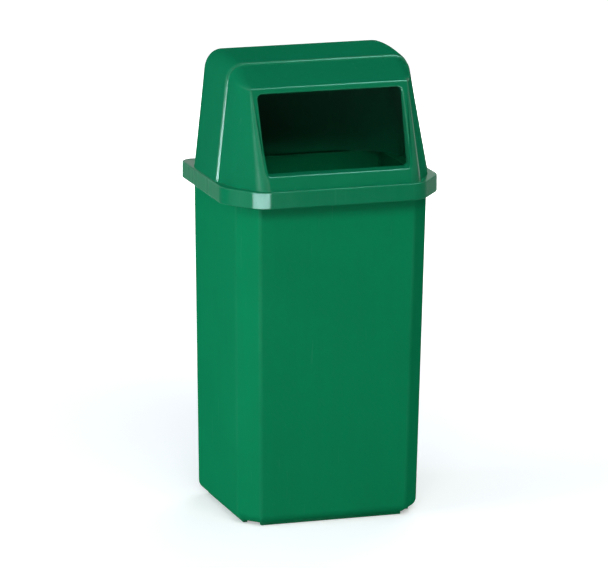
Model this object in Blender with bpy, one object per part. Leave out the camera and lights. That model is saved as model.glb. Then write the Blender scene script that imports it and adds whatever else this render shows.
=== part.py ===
"""Wall-hung waste bin: a tapered tub under a hooded cover, hooked on a wall rail.

Lengths are in metres and +Z is up. Pieces are drawn in the bin's own frame,
whose origin lies on the floor under the middle of the rim, with the mouth
towards -Y and the wall towards +Y. One empty then moves that frame so that the
world's origin is the middle of the rail's face on the wall.
"""

import math

import bmesh
import bpy
from mathutils import Vector

# Rim of the cover, the widest part of the bin
RIM_HALF_WIDTH = 0.190
RIM_HALF_DEPTH = 0.1525
RIM_CHAMFER_X = 0.0485
RIM_CHAMFER_Y = 0.063
RIM_SIDE_RADIUS = 0.050
RIM_FRONT_RADIUS = 0.040
RIM_REAR_RADIUS = 0.022
RIM_BOTTOM_Z = 0.553
RIM_BAND_HEIGHT = 0.028
RIM_EDGE_RADIUS = 0.002
RIM_LOWER_EDGE = 0.001
RIM_TOP_Z = RIM_BOTTOM_Z + RIM_BAND_HEIGHT

# Moulded walls
WALL = 0.003
SEAT_GAP = 0.0003
SMALLEST_RADIUS = 0.0006

# Tub, tapered at the front and the sides with an upright back
RIM_SIDE_OVERHANG = 0.0225
RIM_FRONT_OVERHANG = 0.0238
RIM_REAR_OVERHANG = 0.0095
TUB_SIDE_TAPER = 0.0084
TUB_FRONT_TAPER = 0.0149
TUB_CHAMFER_X = 0.0315
TUB_CHAMFER_Y = 0.0356
TUB_FRONT_RADIUS = 0.009
TUB_REAR_RADIUS = 0.006
TUB_BASE_FILLET = 0.0165
FOOT_HEIGHT = 0.004
FOOT_WIDTH = 0.008
FOOT_CORNER_GAP = 0.004
FOOT_CORNER_RADIUS = 0.0012
FLANGE_CLEARANCE = 0.001
FLANGE_EDGE_RADIUS = 0.0008
FLANGE_INNER_RADIUS = 0.0015
TUB_TOP_HALF_WIDTH = RIM_HALF_WIDTH - RIM_SIDE_OVERHANG
TUB_BASE_HALF_WIDTH = TUB_TOP_HALF_WIDTH - TUB_SIDE_TAPER
TUB_TOP_FRONT = RIM_HALF_DEPTH - RIM_FRONT_OVERHANG
TUB_BASE_FRONT = TUB_TOP_FRONT - TUB_FRONT_TAPER
TUB_REAR = RIM_HALF_DEPTH - RIM_REAR_OVERHANG
FLANGE_TOP_Z = RIM_TOP_Z - WALL - SEAT_GAP

# Cover above the rim
HOOD_HEIGHT = 0.199
HOOD_SIDE_LEDGE = 0.0035
HOOD_SIDE_DRAFT = math.radians(8.48)
HOOD_REAR_LEDGE = 0.0065
HOOD_REAR_BASE_RADIUS = 0.082
HOOD_REAR_TOP_RADIUS = 0.050
HOOD_TOP_EDGE_RADIUS = 0.027
HOOD_REAR_EDGE_RADIUS = 0.055
HOOD_ROOT_FLARE = 0.001
HOOD_ROOT_HEIGHT = 0.006
HOOD_ROOT_OVERLAP = 0.002
ARCH_SETBACK = 0.0446
ARCH_LEAN = math.radians(7.83)
HOOD_CROWN = 0.0065
CROWN_TURN = math.radians(135)
ARCH_CORNER_RADIUS = 0.031
ARCH_STEP = 0.002
ARCH_EDGE_RADIUS = 0.001
TOP_Z = RIM_TOP_Z + HOOD_HEIGHT
HOOD_BASE_HALF_WIDTH = RIM_HALF_WIDTH - HOOD_SIDE_LEDGE
HOOD_REAR = RIM_HALF_DEPTH - HOOD_REAR_LEDGE
ARCH_BASE_Y = RIM_CHAMFER_Y + ARCH_SETBACK - RIM_HALF_DEPTH

# Leaning frame round the mouth
FRAME_CORNER_INSET = 0.0042
FRAME_FRONT_LEDGE = 0.0075
FRAME_LEAN = math.radians(23.05)
FRAME_TOP_DROP = 0.0395
FRAME_CORNER_RADIUS = 0.003
FRAME_EDGE_TOP_REACH = 0.002
FRAME_EDGE_BASE_REACH = 0.016
FRAME_SIDE_BORDER = 0.0113
FRAME_BASE_BORDER = 0.0228
FRAME_TOP_BORDER = 0.009
MOUTH_CORNER_RADIUS = 0.008
MOUTH_EDGE_RADIUS = 0.0025
MOUTH_TOP_DEPTH = 0.009
MOUTH_BOTTOM_DEPTH = 0.026
FRAME_HALF_WIDTH = RIM_HALF_WIDTH - RIM_CHAMFER_X - FRAME_CORNER_INSET
FRAME_BASE_Y = FRAME_FRONT_LEDGE - RIM_HALF_DEPTH
FRAME_TOP_Z = TOP_Z - FRAME_TOP_DROP
MOUTH_HALF_WIDTH = FRAME_HALF_WIDTH - FRAME_SIDE_BORDER
MOUTH_BOTTOM_Z = RIM_TOP_Z + FRAME_BASE_BORDER
MOUTH_TOP_Z = FRAME_TOP_Z - FRAME_TOP_BORDER

# Rail on the wall and hanger on the tub, both bent from sheet
SHEET = 0.0025
BEND_RADIUS = 0.001
HOOK_PLAY = 0.0008
HOOK_BACK_PLAY = 0.0021
HOOK_DROP = 0.083
HOOK_LIP_HEIGHT = 0.022
RAIL_SIDE_INSET = 0.0391
RAIL_WEB_HEIGHT = 0.062
HANGER_SIDE_INSET = 0.0591
HANGER_WEB_HEIGHT = 0.062
SHEET_CORNER_RADIUS = 0.008
HOLE_SIDE_INSET = 0.025
RAIL_HOLE_RADIUS = 0.00325
RAIL_HOLE_DROPS = (0.018, 0.046)
HANGER_HOLE_RISES = (0.018, 0.046)
HOOK_SEAT_Z = RIM_BOTTOM_Z - HOOK_DROP
RAIL_LIP_Y = TUB_REAR + SEAT_GAP + SHEET + HOOK_PLAY
HANGER_LIP_Y = RAIL_LIP_Y + SHEET + HOOK_PLAY
WALL_FACE_Y = HANGER_LIP_Y + SHEET + HOOK_BACK_PLAY + SHEET
RAIL_HALF_WIDTH = TUB_BASE_HALF_WIDTH - RAIL_SIDE_INSET
HANGER_HALF_WIDTH = TUB_BASE_HALF_WIDTH - HANGER_SIDE_INSET
RAIL_HOLE_HALF_SPACING = RAIL_HALF_WIDTH - HOLE_SIDE_INSET
HANGER_HOLE_HALF_SPACING = HANGER_HALF_WIDTH - HOLE_SIDE_INSET
MOUNT_Z = HOOK_SEAT_Z - HOOK_LIP_HEIGHT - RAIL_WEB_HEIGHT / 2

# Fasteners of the hanger and buffers at the tub's foot
SCREW_RADIUS = 0.003
SCREW_HOLE_RADIUS = 0.0033
SCREW_HEAD_RADIUS = 0.006
SCREW_HEAD_HEIGHT = 0.0033
SCREW_HEAD_RIM = 0.0011
SCREW_HEAD_BULGE = 0.0004
SCREW_TIP_LENGTH = 0.0015
SCREW_TIP_CHAMFER = 0.0005
SCREW_SOCKET_RADIUS = 0.0023
SCREW_SOCKET_DEPTH = 0.0019
WASHER_RADIUS = 0.010
WASHER_THICKNESS = 0.0015
NUT_RADIUS = 0.00577
NUT_HEIGHT = 0.005
BUFFER_RADIUS = 0.015
BUFFER_NECK_RADIUS = 0.004
BUFFER_HOLE_RADIUS = 0.0043
BUFFER_BARB_RADIUS = 0.0065
BUFFER_BARB_LENGTH = 0.006
BUFFER_BARB_RIM = 0.002
BUFFER_EDGE_RADIUS = 0.0015
BUFFER_SIDE_INSET = 0.0541
BUFFER_HEIGHT = 0.065
BUFFER_HALF_SPACING = TUB_BASE_HALF_WIDTH - BUFFER_SIDE_INSET

# Steps of the round stretches
CORNER_STEPS = 5
ARC_STEPS = 7
FILLET_STEPS = 4
BEND_STEPS = 3
TURN_SEGMENTS = 18
NUT_SIDES = 6
REAR_STEPS = 7
CROWN_STEPS = 3
EDGE_STEPS = 4

MERGE_DISTANCE = 0.000002
OVERSHOOT = 0.004
SHARP_ANGLE = math.radians(30)
CORNER_LIMIT_SHARE = 0.49

GREEN = (0.0035, 0.180, 0.072, 1.0)
GREEN_COVER = (0.0045, 0.185, 0.078, 1.0)
ZINC = (0.42, 0.44, 0.45, 1.0)
BRIGHT_STEEL = (0.56, 0.57, 0.58, 1.0)
BLACK_RUBBER = (0.012, 0.012, 0.013, 1.0)


def clear_scene():
    for old in list(bpy.data.objects):
        bpy.data.objects.remove(old, do_unlink=True)


def principled(name, colour, roughness, metallic):
    material = bpy.data.materials.new(name)
    material.use_nodes = True
    shader = material.node_tree.nodes["Principled BSDF"]
    shader.inputs["Base Color"].default_value = colour
    shader.inputs["Roughness"].default_value = roughness
    shader.inputs["Metallic"].default_value = metallic
    return material


# Outlines

def inset_corners(corners, distance):
    """Move every side of a convex outline inwards; corners are (x, y, radius)."""
    moved = []
    for index, (x, y, radius) in enumerate(corners):
        here = Vector((x, y))
        before = (here - Vector(corners[index - 1][:2])).normalized()
        after = (Vector(corners[(index + 1) % len(corners)][:2]) - here).normalized()
        normal_before = Vector((-before.y, before.x))
        normal_after = Vector((-after.y, after.x))
        miter = (normal_before + normal_after) / (1 + normal_before.dot(normal_after))
        spot = here + miter * distance
        moved.append((spot.x, spot.y, max(radius - distance, SMALLEST_RADIUS)))
    return moved


def corner_arc(before_point, here, after_point, radius, steps):
    """Points of the arc that rounds one corner of a line."""
    before = here - before_point
    after = after_point - here
    room = CORNER_LIMIT_SHARE * min(before.length, after.length)
    before.normalize()
    after.normalize()
    turn = math.atan2(before.x * after.y - before.y * after.x, before.dot(after))
    half_tangent = math.tan(abs(turn) / 2)
    radius = min(radius, room / half_tangent)
    start = here - before * (radius * half_tangent)
    towards_centre = Vector((-before.y, before.x)) * math.copysign(radius, turn)
    centre = start + towards_centre
    points = []
    for step in range(steps + 1):
        angle = turn * step / steps
        arm = -towards_centre
        points.append(centre + Vector((
            arm.x * math.cos(angle) - arm.y * math.sin(angle),
            arm.x * math.sin(angle) + arm.y * math.cos(angle))))
    return points


def rounded_outline(corners, steps):
    """Closed outline with an arc at every corner."""
    points = []
    for index, (x, y, radius) in enumerate(corners):
        before_point = Vector(corners[index - 1][:2])
        after_point = Vector(corners[(index + 1) % len(corners)][:2])
        points += corner_arc(before_point, Vector((x, y)), after_point, radius, steps)
    return points


def rectangle_corners(half_width, low, high, radius):
    return [(-half_width, high, radius), (-half_width, low, radius),
            (half_width, low, radius), (half_width, high, radius)]


def chamfered_corners(half_width, front, rear, chamfer, radii):
    """Plan of the tub or the rim: square at the wall, chamfered at the front.

    The radii are those of the rear, side and front corners.
    """
    chamfer_x, chamfer_y = chamfer
    rear_radius, side_radius, front_radius = radii
    return [(-half_width, rear, rear_radius),
            (-half_width, -front + chamfer_y, side_radius),
            (-half_width + chamfer_x, -front, front_radius),
            (half_width - chamfer_x, -front, front_radius),
            (half_width, -front + chamfer_y, side_radius),
            (half_width, rear, rear_radius)]


# Meshes

def mesh_from_rings(name, rings, closed=False):
    """Skin the rings in their order; close the ends with caps or ring to ring."""
    shape = bmesh.new()
    loops = [[shape.verts.new(point) for point in ring] for ring in rings]
    pairs = list(zip(loops, loops[1:]))
    if closed:
        pairs.append((loops[-1], loops[0]))
    for lower, upper in pairs:
        for index in range(len(lower)):
            following = (index + 1) % len(lower)
            shape.faces.new((lower[index], lower[following], upper[following], upper[index]))
    if not closed:
        shape.faces.new(list(reversed(loops[0])))
        shape.faces.new(loops[-1])
    bmesh.ops.remove_doubles(shape, verts=shape.verts, dist=MERGE_DISTANCE)
    bmesh.ops.recalc_face_normals(shape, faces=shape.faces)
    mesh = bpy.data.meshes.new(name)
    shape.to_mesh(mesh)
    shape.free()
    mesh.shade_smooth()
    mesh.set_sharp_from_angle(angle=SHARP_ANGLE)
    return mesh


def place(name, mesh, frame, material=None):
    piece = bpy.data.objects.new(name, mesh)
    bpy.context.scene.collection.objects.link(piece)
    piece.parent = frame
    if material is not None and not mesh.materials:
        mesh.materials.append(material)
    return piece


def combine(piece, mesh, operation, frame):
    """Join, cut or trim the piece with a guide shape that isn't built itself."""
    guide = place("guide_" + mesh.name, mesh, frame)
    guide.hide_render = True
    guide.display_type = "WIRE"
    step = piece.modifiers.new(operation.lower() + "_" + mesh.name, "BOOLEAN")
    step.operation = operation
    step.solver = "EXACT"
    step.object = guide


def level_rings(levels, corners_at):
    """Rings of a plan outline; a level is (inset, height)."""
    rings = []
    for inset, height in levels:
        outline = rounded_outline(corners_at(inset, height), CORNER_STEPS)
        rings.append([(point.x, point.y, height) for point in outline])
    return rings


def quarter_levels(inset, height, radius, start_angle, rise, steps=FILLET_STEPS):
    """Levels round a quarter circle; the centre is (inset, height)."""
    levels = []
    for step in range(steps + 1):
        angle = start_angle + math.pi / 2 * step / steps * rise
        levels.append((inset + radius * math.cos(angle), height + radius * math.sin(angle)))
    return levels


def turned_rings(profile, segments=TURN_SEGMENTS):
    """Rings of a turned shape about the Y axis; a station is (radius, y)."""
    rings = []
    for radius, along in profile:
        ring = []
        for segment in range(segments):
            angle = 2 * math.pi * segment / segments
            ring.append((radius * math.cos(angle), along, radius * math.sin(angle)))
        rings.append(ring)
    return rings


def shifted(rings, x, y, z):
    return [[(point[0] + x, point[1] + y, point[2] + z) for point in ring] for ring in rings]


def drill_mesh(name, radius, x, z, low_y, high_y):
    rings = turned_rings([(radius, low_y), (radius, high_y)])
    return mesh_from_rings(name, shifted(rings, x, 0, z))


def bolt_spots(half_spacing, rows):
    return [(side * half_spacing, row) for row in rows for side in (-1, 1)]


# Tub

def tub_corners(inset, height):
    share = height / RIM_BOTTOM_Z
    half_width = TUB_BASE_HALF_WIDTH + TUB_SIDE_TAPER * share
    front = TUB_BASE_FRONT + TUB_FRONT_TAPER * share
    corners = chamfered_corners(half_width, front, TUB_REAR, (TUB_CHAMFER_X, TUB_CHAMFER_Y),
                                (TUB_REAR_RADIUS, TUB_FRONT_RADIUS, TUB_FRONT_RADIUS))
    return inset_corners(corners, inset)


def rim_corners(inset, height):
    corners = chamfered_corners(RIM_HALF_WIDTH, RIM_HALF_DEPTH, RIM_HALF_DEPTH,
                                (RIM_CHAMFER_X, RIM_CHAMFER_Y),
                                (RIM_REAR_RADIUS, RIM_SIDE_RADIUS, RIM_FRONT_RADIUS))
    return inset_corners(corners, inset)


def tub_rings():
    """Up the outside, out round the flange, then down the inside."""
    flange_edge = WALL + FLANGE_CLEARANCE
    inner_fillet = TUB_BASE_FILLET - WALL
    outside = quarter_levels(TUB_BASE_FILLET, FOOT_HEIGHT + TUB_BASE_FILLET,
                             TUB_BASE_FILLET, -math.pi / 2, -1)
    outside.append((0, FLANGE_TOP_Z - WALL))
    flange = [(flange_edge, FLANGE_TOP_Z - WALL),
              (flange_edge, FLANGE_TOP_Z - FLANGE_EDGE_RADIUS),
              (flange_edge + FLANGE_EDGE_RADIUS, FLANGE_TOP_Z)]
    inside = quarter_levels(WALL - FLANGE_INNER_RADIUS, FLANGE_TOP_Z - FLANGE_INNER_RADIUS,
                            FLANGE_INNER_RADIUS, math.pi / 2, -1)
    inside += quarter_levels(WALL + inner_fillet, FOOT_HEIGHT + TUB_BASE_FILLET,
                             inner_fillet, math.pi, 1)
    return (level_rings(outside, tub_corners) + level_rings(flange, rim_corners)
            + level_rings(inside, tub_corners))


def foot_meshes():
    """Bars under the straight stretches of the base, none under the chamfers."""
    inside = TUB_BASE_FILLET - FOOT_WIDTH / 2
    half_width = TUB_BASE_HALF_WIDTH - inside
    front = TUB_BASE_FRONT - inside
    rear = TUB_REAR - inside
    side_front = -TUB_BASE_FRONT + TUB_CHAMFER_Y + FOOT_CORNER_GAP
    front_half = TUB_BASE_HALF_WIDTH - TUB_CHAMFER_X - FOOT_CORNER_GAP
    rear_half = half_width - FOOT_WIDTH - FOOT_CORNER_GAP
    side_rear = rear - FOOT_CORNER_GAP
    bars = {"foot_front": (-front_half, front_half, -front, -front + FOOT_WIDTH),
            "foot_rear": (-rear_half, rear_half, rear - FOOT_WIDTH, rear),
            "foot_left": (-half_width, -half_width + FOOT_WIDTH, side_front, side_rear),
            "foot_right": (half_width - FOOT_WIDTH, half_width, side_front, side_rear)}
    meshes = []
    for name, (low_x, high_x, low_y, high_y) in bars.items():
        corners = [(low_x, high_y, FOOT_CORNER_RADIUS), (low_x, low_y, FOOT_CORNER_RADIUS),
                   (high_x, low_y, FOOT_CORNER_RADIUS), (high_x, high_y, FOOT_CORNER_RADIUS)]
        outline = rounded_outline(corners, BEND_STEPS)
        rings = [[(point.x, point.y, height) for point in outline]
                 for height in (0, FOOT_HEIGHT + WALL / 2)]
        meshes.append(mesh_from_rings(name, rings))
    return meshes


def make_tub(frame, material):
    tub = place("tub", mesh_from_rings("tub", tub_rings()), frame, material)
    for mesh in foot_meshes():
        combine(tub, mesh, "UNION", frame)
    low_y = TUB_REAR - WALL - OVERSHOOT
    high_y = TUB_REAR + OVERSHOOT
    for index, (x, rise) in enumerate(bolt_spots(HANGER_HOLE_HALF_SPACING, HANGER_HOLE_RISES)):
        hole = drill_mesh(f"tub_hole_{index + 1}", SCREW_HOLE_RADIUS, x, HOOK_SEAT_Z + rise,
                          low_y, high_y)
        combine(tub, hole, "DIFFERENCE", frame)
    for index, side in enumerate((-1, 1)):
        hole = drill_mesh(f"buffer_hole_{index + 1}", BUFFER_HOLE_RADIUS,
                          side * BUFFER_HALF_SPACING, BUFFER_HEIGHT, low_y, high_y)
        combine(tub, hole, "DIFFERENCE", frame)


# Cover

def arch_y(height):
    return ARCH_BASE_Y + (height - RIM_TOP_Z) * math.tan(ARCH_LEAN)


def frame_y(height):
    return FRAME_BASE_Y + (height - RIM_TOP_Z) * math.tan(FRAME_LEAN)


def hood_half_width(height):
    return HOOD_BASE_HALF_WIDTH - (height - RIM_TOP_Z) * math.tan(HOOD_SIDE_DRAFT)


def hood_rear_radius(height):
    share = (height - RIM_TOP_Z) / (TOP_Z - RIM_TOP_Z)
    return HOOD_REAR_BASE_RADIUS + (HOOD_REAR_TOP_RADIUS - HOOD_REAR_BASE_RADIUS) * share


def section(half_width_at, root_z, top_z, corner_radius, flare):
    """Half of a section of the cover, from its root up to its top.

    Each point is (x, z, inward x, inward z), on the side towards -X.
    """
    points = [(-half_width_at(RIM_TOP_Z) - flare, root_z, 1, 0)]
    for step in range(FILLET_STEPS - 1):
        angle = math.pi / 2 * step / (FILLET_STEPS - 2)
        height = RIM_TOP_Z + HOOD_ROOT_HEIGHT * (1 - math.cos(angle))
        spread = flare * (1 - math.sin(angle))
        points.append((-half_width_at(height) - spread, height, 1, 0))
    below = Vector((-half_width_at(RIM_TOP_Z), RIM_TOP_Z))
    vertex = Vector((-half_width_at(top_z), top_z))
    arc = corner_arc(below, vertex, Vector((0, top_z)), corner_radius, ARC_STEPS)
    for step, point in enumerate(arc):
        angle = math.pi / 2 * step / ARC_STEPS
        points.append((point.x, point.y, math.cos(angle), -math.sin(angle)))
    return points


def whole(half):
    """Both halves of a section, from the root at -X over the top to the root at +X."""
    return half + [(-x, z, -inward_x, inward_z) for x, z, inward_x, inward_z in reversed(half)]


def flank_turn():
    """Angle in plan between the front and a flank of the cover."""
    depth = arch_y(RIM_TOP_Z) - frame_y(RIM_TOP_Z)
    return math.atan2(depth, HOOD_BASE_HALF_WIDTH - ARCH_STEP - FRAME_HALF_WIDTH)


def hood_rings(inset, root_z):
    """Sections from the mouth's frame back to the wall side, moved inwards by inset."""
    inside = inset > 0
    flare = 0 if inside else HOOD_ROOT_FLARE
    turn = flank_turn()

    def frame_half_width(height):
        return FRAME_HALF_WIDTH - inset * math.tan(turn / 2)

    def arch_half_width(height):
        return hood_half_width(height) - inset - ARCH_STEP

    frame_shift = inset / math.cos(FRAME_LEAN)
    arch_shift = inset * math.tan((math.pi / 2 - turn) / 2)
    frame_section = whole(section(frame_half_width, root_z, FRAME_TOP_Z - inset,
                                  max(FRAME_CORNER_RADIUS - inset, SMALLEST_RADIUS), 0))
    arch_section = whole(section(arch_half_width, root_z, TOP_Z - HOOD_CROWN - ARCH_STEP - inset,
                                 ARCH_CORNER_RADIUS - ARCH_STEP - inset, flare))

    frame_points = [Vector((x, frame_y(z) + frame_shift, z)) for x, z, _, _ in frame_section]
    arch_points = [Vector((x, arch_y(z) + arch_shift, z)) for x, z, _, _ in arch_section]
    rings = []
    for step in range(EDGE_STEPS + 1):
        share = step / EDGE_STEPS
        ring = []
        for vertex, target, (_, z, inward_x, inward_z) in zip(frame_points, arch_points,
                                                             frame_section):
            rise = min(max((z - RIM_TOP_Z) / (FRAME_TOP_Z - RIM_TOP_Z), 0), 1)
            reach = FRAME_EDGE_BASE_REACH + (FRAME_EDGE_TOP_REACH - FRAME_EDGE_BASE_REACH) * rise
            reach = max(reach - inset, SMALLEST_RADIUS)
            on_front = vertex + reach * Vector((inward_x, inward_z * math.tan(FRAME_LEAN), inward_z))
            on_flank = vertex + reach * (target - vertex).normalized()
            ring.append(on_front * (1 - share) ** 2 + vertex * (2 * share * (1 - share))
                        + on_flank * share ** 2)
        rings.append(ring)
    rings.append(arch_points)

    for edge_inset in (ARCH_EDGE_RADIUS, 0):
        def half_width(height, edge_inset=edge_inset):
            return hood_half_width(height) - inset - edge_inset
        raised = whole(section(half_width, root_z, TOP_Z - HOOD_CROWN - inset - edge_inset,
                               ARCH_CORNER_RADIUS - inset - edge_inset, flare))
        back = arch_shift + ARCH_EDGE_RADIUS - edge_inset
        rings.append([Vector((x, arch_y(z) + back, z)) for x, z, _, _ in raised])

    for step in range(1, CROWN_STEPS):
        rings.append(crown_ring(inset, root_z, step / CROWN_STEPS, flare))
    for step in range(REAR_STEPS + 1):
        angle = math.pi / 2 * (1 - step / REAR_STEPS)
        rings.append(rear_ring(inset, root_z, angle, flare))
    return rings


def crown_ring(inset, root_z, share, flare):
    """Section between the arch and the rounded rear, where the top rises a little."""
    def half_width(height):
        return hood_half_width(height) - inset

    top_z = TOP_Z - inset - HOOD_CROWN * (1 - math.sin(CROWN_TURN * share))
    crown = whole(section(half_width, root_z, top_z, HOOD_TOP_EDGE_RADIUS - inset, flare))
    ring = []
    for x, z, _, _ in crown:
        rear_y = HOOD_REAR - hood_rear_radius(z)
        ring.append(Vector((x, arch_y(z) + (rear_y - arch_y(z)) * share, z)))
    return ring


def edge_drop(inset, angle):
    """How far the rounded rear edge lies below the top, at an angle round the rear."""
    edge_radius = HOOD_REAR_EDGE_RADIUS - inset
    from_back = (HOOD_REAR_TOP_RADIUS - inset) * (1 - math.cos(angle))
    reach = max(edge_radius - from_back, 0)
    return edge_radius - math.sqrt(edge_radius ** 2 - reach ** 2)


def rear_ring(inset, root_z, angle, flare):
    """Section of the rounded rear, at an angle from 90 degrees (side) to 0 (back)."""
    def radius_at(height):
        return hood_rear_radius(height) - inset

    def half_width(height):
        return hood_half_width(height) - inset - radius_at(height) * (1 - math.sin(angle))

    crown_end = TOP_Z - HOOD_CROWN * (1 - math.sin(CROWN_TURN)) + edge_drop(inset, math.pi / 2)
    blend = HOOD_TOP_EDGE_RADIUS + (HOOD_REAR_EDGE_RADIUS - HOOD_TOP_EDGE_RADIUS) * math.cos(angle)
    rear = whole(section(half_width, root_z, crown_end - inset - edge_drop(inset, angle),
                         blend - inset, flare))
    return [Vector((x, HOOD_REAR - inset - radius_at(z) * (1 - math.cos(angle)), z))
            for x, z, _, _ in rear]


def rim_rings():
    top = quarter_levels(RIM_EDGE_RADIUS, RIM_TOP_Z - RIM_EDGE_RADIUS, RIM_EDGE_RADIUS,
                         math.pi, -1, BEND_STEPS)
    levels = [(RIM_LOWER_EDGE, RIM_BOTTOM_Z), (0, RIM_BOTTOM_Z + RIM_LOWER_EDGE)] + top
    return level_rings(levels, rim_corners)


def rim_cavity_rings():
    levels = [(WALL, RIM_BOTTOM_Z - OVERSHOOT), (WALL, RIM_TOP_Z - WALL)]
    return level_rings(levels, rim_corners)


def mouth_ring(outset, depth_at):
    """Rounded rectangle of the mouth, set back from the frame's leaning face."""
    corners = rectangle_corners(MOUTH_HALF_WIDTH + outset, MOUTH_BOTTOM_Z - outset,
                                MOUTH_TOP_Z + outset, MOUTH_CORNER_RADIUS + outset)
    return [(point.x, frame_y(point.y) + depth_at(point.y), point.y)
            for point in rounded_outline(corners, CORNER_STEPS)]


def lip_depth(height):
    share = (height - MOUTH_BOTTOM_Z) / (MOUTH_TOP_Z - MOUTH_BOTTOM_Z)
    return MOUTH_BOTTOM_DEPTH + (MOUTH_TOP_DEPTH - MOUTH_BOTTOM_DEPTH) * share


def lip_rings():
    return [mouth_ring(WALL, lambda height: WALL / 2), mouth_ring(WALL, lip_depth)]


def mouth_rings():
    rings = [mouth_ring(MOUTH_EDGE_RADIUS, lambda height: -OVERSHOOT)]
    for step in range(FILLET_STEPS + 1):
        angle = math.pi / 2 * step / FILLET_STEPS
        outset = MOUTH_EDGE_RADIUS * (1 - math.sin(angle))
        depth = MOUTH_EDGE_RADIUS * (1 - math.cos(angle))
        rings.append(mouth_ring(outset, lambda height, depth=depth: depth))
    rings.append(mouth_ring(0, lambda height: lip_depth(height) + OVERSHOOT))
    return rings


def make_hood(frame, material):
    """Cover with its rim skirt, hollow inside, with a return lip round the mouth."""
    shell = mesh_from_rings("hood", hood_rings(0, RIM_TOP_Z - HOOD_ROOT_OVERLAP))
    hood = place("hood", shell, frame, material)
    cavity_root = RIM_TOP_Z - WALL - HOOD_ROOT_OVERLAP / 2
    combine(hood, mesh_from_rings("rim_band", rim_rings()), "UNION", frame)
    combine(hood, mesh_from_rings("hood_cavity", hood_rings(WALL, cavity_root)), "DIFFERENCE", frame)
    combine(hood, mesh_from_rings("rim_cavity", rim_cavity_rings()), "DIFFERENCE", frame)
    combine(hood, mesh_from_rings("mouth_lip", lip_rings()), "UNION", frame)
    combine(hood, mesh_from_rings("mouth", mouth_rings()), "DIFFERENCE", frame)


# Rail and hanger

def sheet_outline(path):
    """Outline in (y, z) of sheet bent along the path of its middle line."""
    half = SHEET / 2
    sides = []
    for hand in (1, -1):
        line = []
        for index, point in enumerate(path):
            here = Vector(point)
            before = (here - Vector(path[index - 1])).normalized() if index else None
            after = None
            if index < len(path) - 1:
                after = (Vector(path[index + 1]) - here).normalized()
            before = before or after
            after = after or before
            normal_before = Vector((-before.y, before.x)) * hand
            normal_after = Vector((-after.y, after.x)) * hand
            miter = (normal_before + normal_after) / (1 + normal_before.dot(normal_after))
            line.append(here + miter * half)
        bent = [line[0]]
        for index in range(1, len(line) - 1):
            before = Vector(path[index]) - Vector(path[index - 1])
            after = Vector(path[index + 1]) - Vector(path[index])
            turns_left = before.x * after.y - before.y * after.x > 0
            inner = turns_left == (hand > 0)
            radius = BEND_RADIUS if inner else BEND_RADIUS + SHEET
            bent += corner_arc(line[index - 1], line[index], line[index + 1], radius, BEND_STEPS)
        bent.append(line[-1])
        sides.append(bent)
    return sides[0] + list(reversed(sides[1]))


def make_sheet_piece(name, path, half, low_z, high_z, holes, frame, material):
    """Bent sheet with rounded corners and round holes through its web."""
    outline = sheet_outline(path)
    rings = [[(x, point.x, point.y) for point in outline] for x in (-half, half)]
    piece = place(name, mesh_from_rings(name, rings), frame, material)
    corners = rectangle_corners(half - SEAT_GAP, low_z, high_z, SHEET_CORNER_RADIUS)
    face = rounded_outline(corners, CORNER_STEPS)
    low_y = TUB_REAR - OVERSHOOT
    high_y = WALL_FACE_Y + OVERSHOOT
    trim = [[(point.x, y, point.y) for point in face] for y in (low_y, high_y)]
    combine(piece, mesh_from_rings(name + "_trim", trim), "INTERSECT", frame)
    for index, (x, z, radius) in enumerate(holes):
        hole = drill_mesh(f"{name}_hole_{index + 1}", radius, x, z, low_y, high_y)
        combine(piece, hole, "DIFFERENCE", frame)


def make_rail(frame, material):
    """Rail on the wall, with an upward lip that the hanger hooks over."""
    half = SHEET / 2
    web_y = WALL_FACE_Y - half
    lip_y = RAIL_LIP_Y + half
    seat_z = HOOK_SEAT_Z - SEAT_GAP
    step_z = HOOK_SEAT_Z - HOOK_LIP_HEIGHT
    low_z = step_z - RAIL_WEB_HEIGHT
    path = [(web_y, low_z), (web_y, step_z), (lip_y, step_z), (lip_y, seat_z)]
    holes = [(x, step_z - drop, RAIL_HOLE_RADIUS)
             for x, drop in bolt_spots(RAIL_HOLE_HALF_SPACING, RAIL_HOLE_DROPS)]
    make_sheet_piece("wall_rail", path, RAIL_HALF_WIDTH, low_z, seat_z, holes, frame, material)


def make_hanger(frame, material):
    """Hanger on the tub's back, with a downward lip behind the rail's."""
    half = SHEET / 2
    web_y = TUB_REAR + SEAT_GAP + half
    lip_y = HANGER_LIP_Y + half
    step_z = HOOK_SEAT_Z + half
    high_z = HOOK_SEAT_Z + HANGER_WEB_HEIGHT
    low_z = HOOK_SEAT_Z - HOOK_LIP_HEIGHT + SHEET + HOOK_PLAY
    path = [(web_y, high_z), (web_y, step_z), (lip_y, step_z), (lip_y, low_z)]
    holes = [(x, HOOK_SEAT_Z + rise, SCREW_HOLE_RADIUS)
             for x, rise in bolt_spots(HANGER_HOLE_HALF_SPACING, HANGER_HOLE_RISES)]
    make_sheet_piece("tub_hanger", path, HANGER_HALF_WIDTH, low_z, high_z, holes, frame, material)


# Fasteners

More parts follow.
